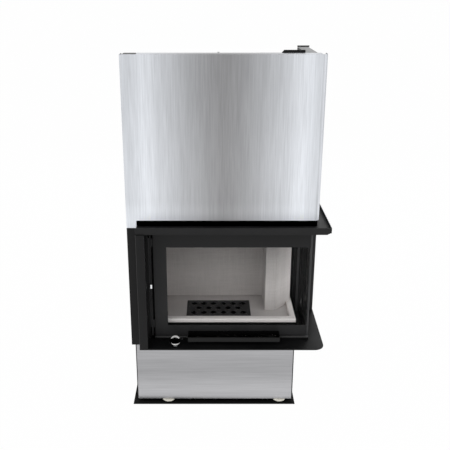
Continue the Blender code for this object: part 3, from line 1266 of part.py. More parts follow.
def build_carriages(body):
    front = Y_DOOR - CARRIAGE_PROUD
    left = bmesh.new()
    add_box(left, (X_STRIP, X_STRIP_RIGHT), (front, front + CARRIAGE_LEFT_DEPTH), (Z_DOOR, Z_CARRIAGE_TOP))
    piece = finish("carriage_left", left, black_steel(), body, body.location)
    extras = bmesh.new()
    for z in (Z_DOOR + SHOE_END_INSET, Z_DOOR_TOP - SHOE_END_INSET - CARRIAGE_LUG_HEIGHT):
        add_box(extras, (X_STRIP_RIGHT - LAP, X_DOOR - GAP), (Y_DOOR + DOOR_FACE, Y_DOOR + DOOR_THICKNESS),
                (z, z + CARRIAGE_LUG_HEIGHT))
    hook = CARRIAGE_HOOK
    add_box(extras, (X_CABLE_LEFT - hook, X_STRIP + LAP), (Y_CABLE_LEFT - hook, Y_CABLE_LEFT + hook),
            (Z_CARRIAGE_TOP - RAIL_SHEET, Z_CARRIAGE_TOP))
    middle = Z_DOOR + CARRIAGE_SCREW_RISE
    for z in (middle - CARRIAGE_SCREW_SPACING / 2, middle + CARRIAGE_SCREW_SPACING / 2):
        add_turned(extras, rod_profile(CARRIAGE_SCREW_RADIUS, front - CARRIAGE_SCREW_HEAD, front + LAP),
                   ((X_STRIP + X_STRIP_RIGHT) / 2, 0, z), "y", COARSE)
    shape(piece, extras, "UNION", "lugs_and_hook")

    right = bmesh.new()
    rear = Y_DOOR_REAR + GAP
    add_box(right, (X_RIGHT_RAIL + RAIL_SHEET, X_DOOR_RIGHT), (rear, rear + CARRIAGE_PLATE),
            (Z_DOOR, Z_CARRIAGE_TOP))
    piece = finish("carriage_right", right, black_steel(), body, body.location)
    extras = bmesh.new()
    add_box(extras, (X_CABLE_RIGHT - hook, X_CABLE_RIGHT + hook),
            (rear + CARRIAGE_PLATE - LAP, Y_CABLE_RIGHT + hook),
            (Z_CARRIAGE_TOP - RAIL_SHEET, Z_CARRIAGE_TOP))
    shape(piece, extras, "UNION", "hook")


def build_guide_shoes(body):
    """A long shoe on each carriage, which slides in its guide rail."""
    z_span = (Z_DOOR + SHOE_END_INSET, Z_DOOR_TOP - SHOE_END_INSET)
    half = LEFT_RAIL_DEPTH / 2 - RAIL_SHEET - RUN / 2
    face = X_STRIP - GAP
    left = bmesh.new()
    add_box(left, (face - SHOE_LEFT_DEPTH, face), (Y_CABLE_LEFT - half, Y_CABLE_LEFT + half), z_span)
    finish("guide_shoe_left", left, dark_polymer(), body, body.location)
    wall = RAIL_SHEET + RUN / 2
    face = Y_DOOR_REAR + CARRIAGE_PLATE + 2 * GAP
    right = bmesh.new()
    add_box(right, (X_RIGHT_RAIL + wall, X_TOP_RIGHT_RIGHT - wall), (face, face + SHOE_RIGHT_DEPTH), z_span)
    finish("guide_shoe_right", right, dark_polymer(), body, body.location)


def build_latch():
    x = (X_STRIP + X_STRIP_RIGHT) / 2
    face = Y_DOOR - CARRIAGE_PROUD - GAP
    body = make_body("latch_body", (x, face, Z_LATCH))
    mesh = bmesh.new()
    add_box(mesh, (x - LATCH_WIDTH / 2, x + LATCH_WIDTH / 2), (face - LATCH_THICKNESS, face),
            (Z_LATCH - LATCH_HEIGHT / 2, Z_LATCH + LATCH_HEIGHT / 2))
    finish("door_latch", mesh, chrome(), body, body.location)


def main():
    clear_scene()
    build_base()
    build_feet()
    build_plinth()
    build_shelf()
    build_columns()
    build_beam()
    build_sill()
    build_air_control()
    build_body()
    build_ash_parts()
    build_grate()
    build_lining()
    build_casing()
    build_cover()
    build_jacket()
    build_guide_rails()
    build_top_rails()
    build_pulleys()
    build_cables()
    build_weights()
    door = make_body("door_body", ((X_DOOR + X_DOOR_RIGHT) / 2, Y_DOOR, Z_DOOR))
    build_door(door)
    build_handle(door)
    build_carriages(door)
    build_guide_shoes(door)
    build_latch()
    bpy.context.view_layer.update()


main()
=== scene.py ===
"""Looks for the corner fireplace insert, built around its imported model.

Lengths are metres and +Z is up. The casing and the door face -Y, and the glazed side faces +X.
"""
import json
import math

import bmesh
import bpy
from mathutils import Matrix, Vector


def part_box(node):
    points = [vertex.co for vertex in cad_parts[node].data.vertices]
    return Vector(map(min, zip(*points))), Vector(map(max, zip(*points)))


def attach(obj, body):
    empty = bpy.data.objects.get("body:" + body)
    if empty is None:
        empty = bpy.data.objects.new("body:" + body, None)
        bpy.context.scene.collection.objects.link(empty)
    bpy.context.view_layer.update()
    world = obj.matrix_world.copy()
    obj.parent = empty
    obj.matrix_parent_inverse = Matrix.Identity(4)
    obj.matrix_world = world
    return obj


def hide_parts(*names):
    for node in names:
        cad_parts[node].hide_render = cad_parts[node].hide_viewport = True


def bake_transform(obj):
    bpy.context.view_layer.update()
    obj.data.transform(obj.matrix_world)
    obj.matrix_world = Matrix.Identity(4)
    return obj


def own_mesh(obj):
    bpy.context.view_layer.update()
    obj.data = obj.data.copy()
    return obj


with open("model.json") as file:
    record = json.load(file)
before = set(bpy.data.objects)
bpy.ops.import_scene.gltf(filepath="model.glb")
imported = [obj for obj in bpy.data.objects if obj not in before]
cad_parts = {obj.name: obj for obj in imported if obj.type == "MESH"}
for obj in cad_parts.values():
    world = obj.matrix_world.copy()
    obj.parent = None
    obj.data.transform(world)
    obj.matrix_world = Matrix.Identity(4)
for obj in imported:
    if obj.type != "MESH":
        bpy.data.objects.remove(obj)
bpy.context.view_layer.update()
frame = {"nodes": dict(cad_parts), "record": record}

# Camera, in the photograph's frame
FRAME_PIXELS = 450
FOCAL_PIXELS = 667.0
CENTRE_COLUMN = 212.5
SENSOR_MILLIMETRES = 36.0
CAMERA_PLACE = (-0.050, -2.250, 1.448)
CAMERA_PITCH = math.radians(19.56)

# Floor and light
FLOOR_SIZE = 1000.0
FLOOR_COLOUR = (0.86, 0.86, 0.86)
FLOOR_ROUGHNESS = 0.9
FLOOR_WHITENESS = 0.985  # share of plain white in what the camera sees of the floor
WORLD_COLOUR = (0.98, 0.99, 1.0)
WORLD_LEVEL = 0.60
ROOM_LEVEL = 0.30  # what glossy faces mirror from straight ahead and from straight behind
ROOM_EDGE = 0.45  # this far to the side, as a part of a unit direction, the room is at full light
LAMPS = {  # each lamp's place, size and power
    "key_lamp": ((-2.6, -2.8, 2.3), 4.6, 62.0),
    "fill_lamp": ((2.8, -2.4, 2.1), 4.4, 46.0),
    "rear_lamp": ((0.3, 2.8, 2.2), 3.4, 24.0),
}
LAMP_TARGET = Vector((0.0, 0.0, 0.55))

# Painted reflection, light and shade, and one black edge: two shares, and the two places between which
# one turns into the other
# The casing's painted reflection and shade, and where its hem turns matt
CASING_SPREAD = (0.0, 1.0, 0.025, 0.29)
CASING_SIDES = (1.0, 0.80, 0.245, 0.310)
CASING_BEND = (1.0, 0.80, 0.2900, 0.2935)
CASING_WALL = (1.0, 1.25, 0.2975, 0.2990)
CASING_HEIGHT = (1.10, 0.95, 0.80, 1.25)
CASING_HEM = (0.0, 1.0, 0.710, 0.785)
CASING_HEM_TONE = (1.30, 1.0, 0.700, 0.790)
# Painted light and shade on the plinth's panel
PANEL_FOOT = (1.32, 1.0, 0.050, 0.130)
PANEL_TOP = (0.96, 1.09, 0.130, 0.207)
# The sill's painted highlight
SILL_HIGHLIGHT = (0.0, 1.0, 0.2711, 0.2717)
# Painted light and shade on the door, lighter towards its foot
DOOR_PAINTED_LIGHT = (1.60, 0.72, 0.30, 0.66)
# The left brick's front edge, painted black in place of a steel frame
FRONT_EDGE_BLACK = (1.0, 0.0, -0.076, -0.066)
# Painted light and shade on the back brick
BACK_SHADE = (1.18, 0.90, 0.40, 0.52)
# Painted light and shade on the pillar
PILLAR_TOP_SHADE = (0.87, 0.56, 0.41, 0.56)
PILLAR_FOOT = (0.86, 1.0, 0.325, 0.40)
PILLAR_FLANK = (1.0, 1.12, 0.180, 0.200)
PILLAR_FAR = (1.0, 1.28, 0.215, 0.245)

# Places where a surface changes
CASING_MIDDLE = -0.012  # the casing's painted reflection is dullest here
CASING_FALLOFF = 1.4  # the power with which it brightens from there
CASING_WANDER = 0.05  # how far the painted reflection's bright zones wander
RAIL_TOP = (1.2560, 1.2574)  # between these levels the right rail's grey top lies; elsewhere the rail is painted black as shade
BAR_BARE = 0.100  # left of this the top bar is bare steel
GRATE_RIM = 0.0012  # below this depth the grate's holes and sides are painted black as shade
PAD_CREAM = (0.0068, 0.0101)  # between these levels a foot's pad is cream
KNOB_FRONT = 0.0065  # the knob's painted black reflection over its front ends this far in front of its middle
KNOB_BAND = (0.0048, 0.0098)  # and its painted black band of reflection this far below and above
STILE_INNER, STILE_FRONT = 0.2785, 0.050  # the rear stile's inside, painted lighter as light, is left of the one, behind the other
RIM_END = -0.2556  # painted shade darkens the front rim's end to the left of this
SLOT_FRONT, SLOT_RIGHT = -0.1525, 0.300  # the beam's slot, painted black as shade, lies behind the one and left of the other
HANDLE_LIP = -0.1805  # the handle's lip is in front of this, and behind it the top is painted black as shade

# Plans of the scene's own pieces, seen from above
CORNER_STRIP = (
    (0.2850, -0.1325), (0.2895, -0.1325), (0.2912, -0.1308), (0.2912, -0.1285), (0.2850, -0.1285))
PILLAR_WEDGE = ((0.1830, -0.0123), (0.2445, 0.0600), (0.2445, 0.1147), (0.2370, 0.1147))

# The plate in the beam's left end, in metres from the beam's front lower left corner
BEAM_END_SHEET = 0.002
BEAM_END_DEPTHS = (0.005, 0.052)
BEAM_END_HEIGHTS = (-0.0015, 0.0115)

# Edges and surfaces
SHEET_EDGE = 0.0004
DOOR_EDGE = 0.0012
BRICK_EDGE = 0.0012
CAST_EDGE = 0.0010
EDGE_SEGMENTS = 2
WELD = 0.00002  # corners closer than this are one
FLAT_ANGLE = math.radians(1.0)  # faces that meet at less than this are one
SHARP_ANGLE = math.radians(35.0)  # edges that bend by more than this are rounded
CABLE_RADIUS = 0.0015
CABLE_SIDES = 10
CABLE_STEP = 0.004  # between two rings of a cable's straight run

# Colours
BLACK, WHITE = (0.0, 0.0, 0.0), (1.0, 1.0, 1.0)
# The casing's painted reflection goes from the dull colour to the bright one
CASING_DULL, CASING_BRIGHT = (0.348, 0.348, 0.356), (0.865, 0.893, 0.94)
PANEL_STEEL = (0.44, 0.44, 0.452)
ZINC_LIGHT, ZINC_DARK, ZINC_CLOUD = (0.33, 0.335, 0.345), (0.25, 0.255, 0.265), (0.22, 0.22, 0.225)
BARE_STEEL = (0.80, 0.80, 0.79)
STRAND_DARK, STRAND_PALE = (0.18, 0.18, 0.19), (0.55, 0.56, 0.58)
CAST_DARK, CAST_PALE = (0.014, 0.014, 0.015), (0.034, 0.034, 0.035)
BLACK_PAINT = (0.0035, 0.0035, 0.0037)
# Painted highlight on the sill's upper edge
SILL_HIGHLIGHT_GREY = (0.075, 0.075, 0.075)
# Painted light inside the door's rear stile
STILE_PAINTED_LIGHT = (0.070, 0.070, 0.072)
# Painted shade on the right rail's cheeks and lip
RAIL_SHADE = (0.012, 0.012, 0.012)
# Painted shade on the front rim's end, and the black over the left brick's front edge
NEAR_BLACK = (0.004, 0.004, 0.004)
CREAM, RUBBER = (0.78, 0.75, 0.66), (0.01, 0.01, 0.01)
KNOB_COLOUR, CHROME = (0.80, 0.79, 0.78), (0.82, 0.83, 0.85)
FLAKE = (0.78, 0.72, 0.62)
SHADED_BRICK = ((0.44, 0.414, 0.405), (0.375, 0.352, 0.344))  # pale and dark, darker copies of the lining painted for shade
GLASS_TINT, GLASS_BODY = (0.995, 0.997, 0.995), (0.02, 0.02, 0.02)
POLYMER_BLACK = (0.03, 0.03, 0.032)

# Paint, steel and glass; a roughness is a pair where it changes over the surface
PAINT_ROUGHNESS, PAINT_SPECULAR = 0.45, 0.22
PAINT_CHANGE = (-0.06, 0.08)  # added to a paint's roughness where it is glossiest and dullest
DUST_GAIN, DUST_LEVEL = 1.6, 0.001  # dust makes a colour lighter by the one times, and by the other
BRUSHED_ROUGHNESS = (0.34, 0.44)
BRUSHED_ANISOTROPY = 0.3
CHROME_ROUGHNESS = (0.04, 0.10)
KNOB_ROUGHNESS = (0.25, 0.35)
ZINC_ROUGHNESS = (0.32, 0.50)
CAST_ROUGHNESS = (0.50, 0.72)
GLASS_ROUGHNESS = (0.03, 0.09)
SMEARS = 120.0  # a metre, on chrome and on the knob
GLASS_MIRROR = 0.015  # share that the glass mirrors straight on
GLASS_FALLOFF = 5.0  # the power with which that rises to all at a grazing angle


# Node helpers

def maths(tree, operation, first, second=0.0):
    """A calculation with an output and a number, or with two outputs."""
    node = tree.nodes.new("ShaderNodeMath")
    node.operation = operation
    tree.links.new(first, node.inputs[0])
    if isinstance(second, bpy.types.NodeSocket):
        tree.links.new(second, node.inputs[1])
    else:
        node.inputs[1].default_value = second
    return node.outputs["Value"]


def mixed_shaders(tree, share, first, second):
    """The first shader with a share of the second."""
    node = tree.nodes.new("ShaderNodeMixShader")
    for socket, output in zip(node.inputs, (share, first, second)):
        tree.links.new(output, socket)
    return node.outputs["Shader"]


class Shading:
    """A material with one Principled node, and short ways to add nodes to it."""

    def __init__(self, name, colour, roughness, metallic=0.0, specular=0.5):
        self.material = bpy.data.materials.new(name)
        self.material.use_nodes = True
        self.tree = self.material.node_tree
        self.shader = self.tree.nodes["Principled BSDF"]
        self.set(**{"Base Color": (*colour, 1.0), "Roughness": roughness, "Metallic": metallic,
                    "Specular IOR Level": specular})
        self.place = self.tree.nodes.new("ShaderNodeTexCoord").outputs["Object"]

    def set(self, **values):
        """Gives the shader's inputs plain values."""
        for name, value in values.items():
            self.shader.inputs[name].default_value = value

    def link(self, output, name):
        """Links an output to the shader's input of that name."""
        self.tree.links.new(output, self.shader.inputs[name])

    def stretched(self, scale):
        """The place on the object, scaled by a number or differently along each axis."""
        mapping = self.tree.nodes.new("ShaderNodeMapping")
        mapping.inputs["Scale"].default_value = scale if isinstance(scale, tuple) else (scale,) * 3
        self.tree.links.new(self.place, mapping.inputs["Vector"])
        return mapping.outputs["Vector"]

    def noise(self, scale, detail=3.0, roughness=0.5):
        """Noise from 0 to 1 with this many features a metre."""
        node = self.tree.nodes.new("ShaderNodeTexNoise")
        node.inputs["Scale"].default_value = 1.0
        node.inputs["Detail"].default_value = detail
        node.inputs["Roughness"].default_value = roughness
        self.tree.links.new(self.stretched(scale), node.inputs["Vector"])
        return node.outputs["Fac"]

    def cells(self, scale):
        """The distance to the middle of the nearest of this many cells a metre."""
        node = self.tree.nodes.new("ShaderNodeTexVoronoi")
        node.inputs["Scale"].default_value = 1.0
        self.tree.links.new(self.stretched(scale), node.inputs["Vector"])
        return node.outputs["Distance"]

    def ranged(self, value, low, high, start=0.3, end=0.7, smooth=False):
        """From low to high while the value goes from start to end, evenly or with soft ends."""
        node = self.tree.nodes.new("ShaderNodeMapRange")
        node.interpolation_type = "SMOOTHSTEP" if smooth else "LINEAR"
        for name, number in zip(("From Min", "From Max", "To Min", "To Max"), (start, end, low, high)):
            node.inputs[name].default_value = number
        self.tree.links.new(value, node.inputs["Value"])
        return node.outputs["Result"]

    def mixed(self, factor, first, second, mode="MIX"):
        """A mix of two colours, each a colour or an output."""
        node = self.tree.nodes.new("ShaderNodeMix")
        node.data_type = "RGBA"
        node.blend_type = mode
        sockets = [s for s in node.inputs if s.enabled]
        for socket, value in zip(sockets, (factor, first, second)):
            if isinstance(value, bpy.types.NodeSocket):
                self.tree.links.new(value, socket)
            elif isinstance(value, tuple):
                socket.default_value = (*value, 1.0)
            else:
                socket.default_value = value
        return next(s for s in node.outputs if s.enabled)

    def toned(self, base, value):
        """The base, a colour or an output, times a value."""
        return self.mixed(1.0, base, self.grey(value), "MULTIPLY")

    def bump(self, height, distance, strength):
        """Raises the surface by up to the distance."""
        node = self.tree.nodes.new("ShaderNodeBump")
        node.inputs["Distance"].default_value = distance
        node.inputs["Strength"].default_value = strength
        self.tree.links.new(height, node.inputs["Height"])
        self.link(node.outputs["Normal"], "Normal")

    def added(self, first, second, share):
        """The sum of a value and a share of another."""
        node = self.tree.nodes.new("ShaderNodeMath")
        node.operation = "MULTIPLY_ADD"
        self.tree.links.new(second, node.inputs[0])
        node.inputs[1].default_value = share
        self.tree.links.new(first, node.inputs[2])
        return node.outputs["Value"]

    def maths(self, operation, first, second=0.0):
        """A calculation in this material."""
        return maths(self.tree, operation, first, second)

    def grey(self, value):
        """The grey of this value."""
        node = self.tree.nodes.new("ShaderNodeCombineColor")
        for channel in node.inputs:
            self.tree.links.new(value, channel)
        return node.outputs["Color"]

    def along(self, axis):
        """The place along an axis, in metres."""
        split = self.tree.nodes.new("ShaderNodeSeparateXYZ")
        self.tree.links.new(self.place, split.inputs["Vector"])
        return split.outputs[axis]

    def above(self, axis, limit):
        """1 where the place along the axis is past the limit, and 0 elsewhere."""
        return self.maths("GREATER_THAN", self.along(axis), limit)

    def below(self, axis, limit):
        """1 where the place along the axis is short of the limit, and 0 elsewhere."""
        return self.maths("LESS_THAN", self.along(axis), limit)

    def both(self, first, second):
        """1 where both masks are 1, and 0 elsewhere."""
        return self.maths("MULTIPLY", first, second)

    def between(self, axis, low, high):
        """1 where the place along the axis is between low and high, and 0 elsewhere."""
        return self.both(self.above(axis, low), self.below(axis, high))


# Tones of steel, each from the place on the object: painted reflection, light and shade

def casing_painted_reflection(look):
    """Painted reflection and shade: the casing is dull in its middle, brightest on both shoulders,
    lighter low down, and matt along its lower hem.
    """
    width, height = look.along("X"), look.along("Z")
    wander = look.noise((3.0, 3.0, 1.2), detail=2.0)
    off_middle = look.maths("ABSOLUTE", look.maths("SUBTRACT", width, CASING_MIDDLE))
    spread = look.ranged(look.added(off_middle, wander, CASING_WANDER), *CASING_SPREAD)
    tone = look.mixed(look.maths("POWER", spread, CASING_FALLOFF), CASING_DULL, CASING_BRIGHT)
    look.link(look.ranged(height, *CASING_HEM, smooth=True), "Metallic")
    for value, shares in ((off_middle, CASING_SIDES), (width, CASING_BEND), (width, CASING_WALL),
                          (height, CASING_HEIGHT), (height, CASING_HEM_TONE)):
        tone = look.toned(tone, look.ranged(value, *shares, smooth=True))
    return tone


def panel_painted_light(look):
    """Painted light and shade: the plinth's panel is dullest a little above its middle and brightest at
    its foot.
    """
    height = look.along("Z")
    share = look.maths("MULTIPLY", look.ranged(height, *PANEL_FOOT), look.ranged(height, *PANEL_TOP))
    return look.toned(PANEL_STEEL, share)


# Shades, each of which changes a look's base colour by the place on the object; most of them paint light
# and shade

def dimmed(look, base, *spreads):
    """The base times, for each axis and spread, a share that changes along that axis."""
    for axis, shares in spreads:
        base = look.toned(base, look.ranged(look.along(axis), *shares))
    return base


def painted_black(look, base, mask):
    """Painted shade, and on the knob a painted reflection: where the mask is 1 the surface is black and
    mirrors nothing, like an opening.
    """
    look.link(mask, "Metallic")
    return look.mixed(mask, base, BLACK)


def sill_painted_highlight(look, base):
    """Painted highlight: the sill's upper edge is a lighter grey."""
    return look.mixed(look.ranged(look.along("Z"), *SILL_HIGHLIGHT), base, SILL_HIGHLIGHT_GREY)


def door_painted_light(look, base):
    """Painted light and shade: the door's paint is paler towards its foot and darker towards its top,
    and paler inside its rear stile.
    """
    inside = look.both(look.below("X", STILE_INNER), look.above("Y", STILE_FRONT))
    return look.mixed(inside, dimmed(look, base, ("Z", DOOR_PAINTED_LIGHT)), STILE_PAINTED_LIGHT)


def slot_painted_shade(look, base):
    """Painted shade: the beam is black and mirrors nothing in the slot between its web and the casing.
    """
    return painted_black(look, base, look.both(look.above("Y", SLOT_FRONT), look.below("X", SLOT_RIGHT)))


def handle_painted_shade(look, base):
    """Painted shade: the handle's top is black, so only its lip catches light."""
    return painted_black(look, base, look.above("Y", HANDLE_LIP))


def back_painted_shade(look, base):
    """Painted light and shade: the back brick is lighter low down and darker upwards."""
    return dimmed(look, base, ("Z", BACK_SHADE))


def pillar_painted_shade(look, base):
    """Painted shade and light: the pillar is darker upwards and at its foot, and its flank is paler."""
    return dimmed(look, base, ("Z", PILLAR_TOP_SHADE), ("Z", PILLAR_FOOT), ("X", PILLAR_FLANK),
                  ("X", PILLAR_FAR))


def rim_end_painted_shade(look, base):
    """Painted shade: the left end is near black."""
    return look.mixed(look.below("X", RIM_END), base, NEAR_BLACK)


def black_front_edge(look, base):
    """The front edge is painted black, in place of the steel frame that covers it."""
    return look.mixed(look.ranged(look.along("Y"), *FRONT_EDGE_BLACK), base, NEAR_BLACK)


def rail_painted_shade(look, base):
    """Only the rail's top is primer grey; its cheeks and its lip are painted black as shade."""
    return look.mixed(look.between("Z", *RAIL_TOP), RAIL_SHADE, base)


def pale_tab(look, base):
    """The bar is black where it shows as a bracket at the right, and bare steel elsewhere."""
    return look.mixed(look.below("X", BAR_BARE), base, BARE_STEEL)


def cream_pad(look, base):
    """The foot's pad is cream plastic on black rubber, under its steel rod."""
    pad = look.mixed(look.between("Z", *PAD_CREAM), base, CREAM)
    return look.mixed(look.below("Z", PAD_CREAM[0]), pad, RUBBER)


# Looks

def brushed(name, tone, depth, fine, slow):
    """Brushed steel: its tone, dimmed by up to the depth in fine lines and half that in slow streaks."""
    look = Shading(name, BARE_STEEL, BRUSHED_ROUGHNESS[0], metallic=1.0)
    lines = look.noise(fine, detail=4.0, roughness=0.62)
    streaks = look.noise(slow, detail=2.0)
    marks = look.maths("MULTIPLY", look.ranged(lines, 1.0 - depth, 1.0),
                       look.ranged(streaks, 1.0 - depth / 2, 1.0))
    look.link(look.toned(tone(look), marks), "Base Color")
    look.link(look.ranged(lines, *BRUSHED_ROUGHNESS), "Roughness")
    look.bump(lines, distance=0.00004, strength=0.4)
    look.set(Anisotropic=BRUSHED_ANISOTROPY)
    return look


def painted(name, colour, roughness=PAINT_ROUGHNESS, specular=PAINT_SPECULAR, shade=None):
    """Satin heat-resistant paint: a fine orange peel, faint dust and slow changes of gloss."""
    look = Shading(name, colour, roughness, specular=specular)
    peel = look.noise(900.0, detail=2.0)
    cloud = look.noise(7.0, detail=5.0, roughness=0.6)
    dusty = tuple(c * DUST_GAIN + DUST_LEVEL for c in colour)
    base = look.mixed(look.ranged(cloud, 0.0, 1.0), colour, dusty)
    look.link(shade(look, base) if shade else base, "Base Color")
    look.link(look.ranged(cloud, roughness + PAINT_CHANGE[0], roughness + PAINT_CHANGE[1]), "Roughness")
    look.bump(peel, distance=0.00005, strength=0.6)
    return look


def zinc():
    """Galvanised sheet: its crystals, slow clouds and a fine grain."""
    look = Shading("zinc_look", ZINC_LIGHT, 0.4, metallic=1.0)
    grain = look.cells(70.0)
    cloud = look.noise(18.0, detail=4.0)
    base = look.mixed(look.ranged(grain, 0.0, 0.6, start=0.0, end=0.8), ZINC_LIGHT, ZINC_DARK)
    look.link(look.mixed(look.ranged(cloud, 0.0, 0.4), base, ZINC_CLOUD), "Base Color")
    look.link(look.ranged(cloud, *ZINC_ROUGHNESS), "Roughness")
    look.bump(look.noise(600.0), distance=0.00003, strength=0.4)
    return look


def polished():
    """Chrome with faint smears."""
    look = Shading("chrome_look", CHROME, CHROME_ROUGHNESS[0], metallic=1.0)
    look.link(look.ranged(look.noise(SMEARS), *CHROME_ROUGHNESS), "Roughness")
    return look


def knob():
    """A bright satin ball with a painted reflection: a black band, which widens over its upper front."""
    look = Shading("knob_look", KNOB_COLOUR, 0.3)
    low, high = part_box("air_knob")
    middle = (low + high) / 2
    bottom, top = middle.z - KNOB_BAND[0], middle.z + KNOB_BAND[1]
    front = look.both(look.below("Y", middle.y - KNOB_FRONT), look.above("Z", bottom))
    black = look.maths("MAXIMUM", look.between("Z", bottom, top), front)
    look.link(painted_black(look, KNOB_COLOUR, black), "Base Color")
    look.link(look.ranged(look.noise(SMEARS), *KNOB_ROUGHNESS), "Roughness")
    return look


def cast(name, top=None):
    """Cast iron with soot; where a top is given, the faces below that level are painted black as shade,
    so only those near it catch light.
    """
    look = Shading(name, CAST_DARK, 0.62, specular=0.4)
    grain = look.noise(420.0, detail=5.0, roughness=0.7)
    soot = look.noise(35.0, detail=4.0)
    base = look.mixed(look.ranged(soot, 0.0, 1.0), CAST_DARK, CAST_PALE)
    if top is not None:
        base = painted_black(look, base, look.below("Z", top - GRATE_RIM))
    look.link(base, "Base Color")
    look.link(look.ranged(soot, *CAST_ROUGHNESS), "Roughness")
    look.bump(grain, distance=0.0004, strength=0.7)
    return look


def lining(name, pale, dark, shade=None):
    """Pressed vermiculite: fine flakes, a faint woven mark of the press cloth, and slow stains."""
    look = Shading(name, pale, 0.92, specular=0.2)
    flakes = look.cells(360.0)
    upright = look.noise((380.0, 380.0, 14.0), detail=2.0)
    level = look.noise((14.0, 14.0, 380.0), detail=2.0)
    cloud = look.noise(5.0, detail=5.0, roughness=0.55)
    weave = look.added(upright, level, 1.0)
    base = look.mixed(look.ranged(weave, 0.0, 1.0, start=0.75, end=1.25), dark, pale)
    base = look.mixed(look.ranged(flakes, 0.10, 0.0, start=0.0, end=0.5), base, FLAKE)
    base = look.mixed(look.ranged(cloud, 0.0, 0.35), base, dark)
    look.link(shade(look, base) if shade else base, "Base Color")
    look.bump(look.added(weave, flakes, 0.6), distance=0.0005, strength=0.6)
    return look


def polymer():
    """Black plastic with a fine grain."""
    look = Shading("polymer_look", POLYMER_BLACK, 0.5)
    look.bump(look.noise(500.0), distance=0.00004, strength=0.5)
    return look


def pane():
    """Clear ceramic glass: it lets light straight through and mirrors by its angle."""
    look = Shading("pane_look", GLASS_BODY, GLASS_ROUGHNESS[0])
    smear = look.noise((9.0, 9.0, 3.0), detail=4.0)
    look.link(look.ranged(smear, *GLASS_ROUGHNESS), "Roughness")
    clear = look.tree.nodes.new("ShaderNodeBsdfTransparent")
    clear.inputs["Color"].default_value = (*GLASS_TINT, 1.0)
    slant = look.tree.nodes.new("ShaderNodeLayerWeight")
    slant.inputs["Blend"].default_value = 0.5
    steep = look.maths("POWER", slant.outputs["Facing"], GLASS_FALLOFF)
    share = look.ranged(steep, GLASS_MIRROR, 1.0, start=0.0, end=1.0)
    surface = mixed_shaders(look.tree, share, clear.outputs["BSDF"], look.shader.outputs["BSDF"])
    look.tree.links.new(surface, look.tree.nodes["Material Output"].inputs["Surface"])
    return look


def wire_rope():
    """Steel cable, with its strands."""
    look = Shading("cable_look", STRAND_PALE, 0.35, metallic=1.0)
    strands = look.noise((900.0, 900.0, 260.0), detail=1.0)
    look.link(look.mixed(look.ranged(strands, 0.0, 1.0), STRAND_DARK, STRAND_PALE), "Base Color")
    look.bump(strands, distance=0.0003, strength=0.8)
    return look


LOOKS = {
    "casing": brushed("casing_look", casing_painted_reflection, depth=0.19,
                      fine=(240.0, 240.0, 7.0), slow=(34.0, 34.0, 3.0)),
    "panel": brushed("panel_look", panel_painted_light, depth=0.16,
                     fine=(6.0, 6.0, 240.0), slow=(3.0, 3.0, 42.0)),
    # The black paints are one paint in lighter and darker copies, painted for the light and shade on
    # each part
    "black": painted("black_look", BLACK_PAINT),
    "matt": painted("matt_look", (0.0015, 0.0015, 0.0016), roughness=0.6, specular=0.10),
    "column": painted("column_look", (0.011, 0.011, 0.0114)),
    "beam": painted("beam_look", (0.0075, 0.0075, 0.0077), shade=slot_painted_shade),
    "door": painted("door_look", (0.008, 0.008, 0.0083), shade=door_painted_light),
    # A lighter paint, which is the door corner's painted highlight
    "strip": painted("corner_highlight_look", (0.028, 0.028, 0.029), roughness=0.40, specular=0.25),
    "handle": painted("handle_look", (0.0012, 0.0012, 0.0012), roughness=0.25, specular=0.25,
                      shade=handle_painted_shade),
    "sill": painted("sill_look", (0.0025, 0.0025, 0.0026), specular=0.12, shade=sill_painted_highlight),
    "primer": painted("primer_look", (0.29, 0.29, 0.29), roughness=0.6, specular=0.35,
                      shade=rail_painted_shade),
    "bar": painted("bar_look", BLACK_PAINT, shade=pale_tab),
    "pad": painted("pad_look", (0.25, 0.255, 0.26), roughness=0.5, specular=0.35, shade=cream_pad),
    "knob": knob(),
    "zinc": zinc(),
    "chrome": polished(),
    "cast": cast("cast_look"),
    "grate": cast("grate_look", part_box("grate")[1].z),
    # The linings are one vermiculite in lighter and darker copies, painted for the light and shade in
    # each place
    "rim": lining("rim_look", (0.87, 0.828, 0.814), (0.795, 0.757, 0.743), rim_end_painted_shade),
    "pillar": lining("pillar_look", (0.68, 0.643, 0.632), (0.585, 0.553, 0.543), pillar_painted_shade),
    "hearth": lining("hearth_look", (0.55, 0.52, 0.51), (0.475, 0.448, 0.44)),
    "deep_shade": lining("deep_shade_look", *SHADED_BRICK, back_painted_shade),
    "black_edged": lining("black_edge_look", *SHADED_BRICK, black_front_edge),
    "polymer": polymer(),
    "pane": pane(),
    "cable": wire_rope(),
}

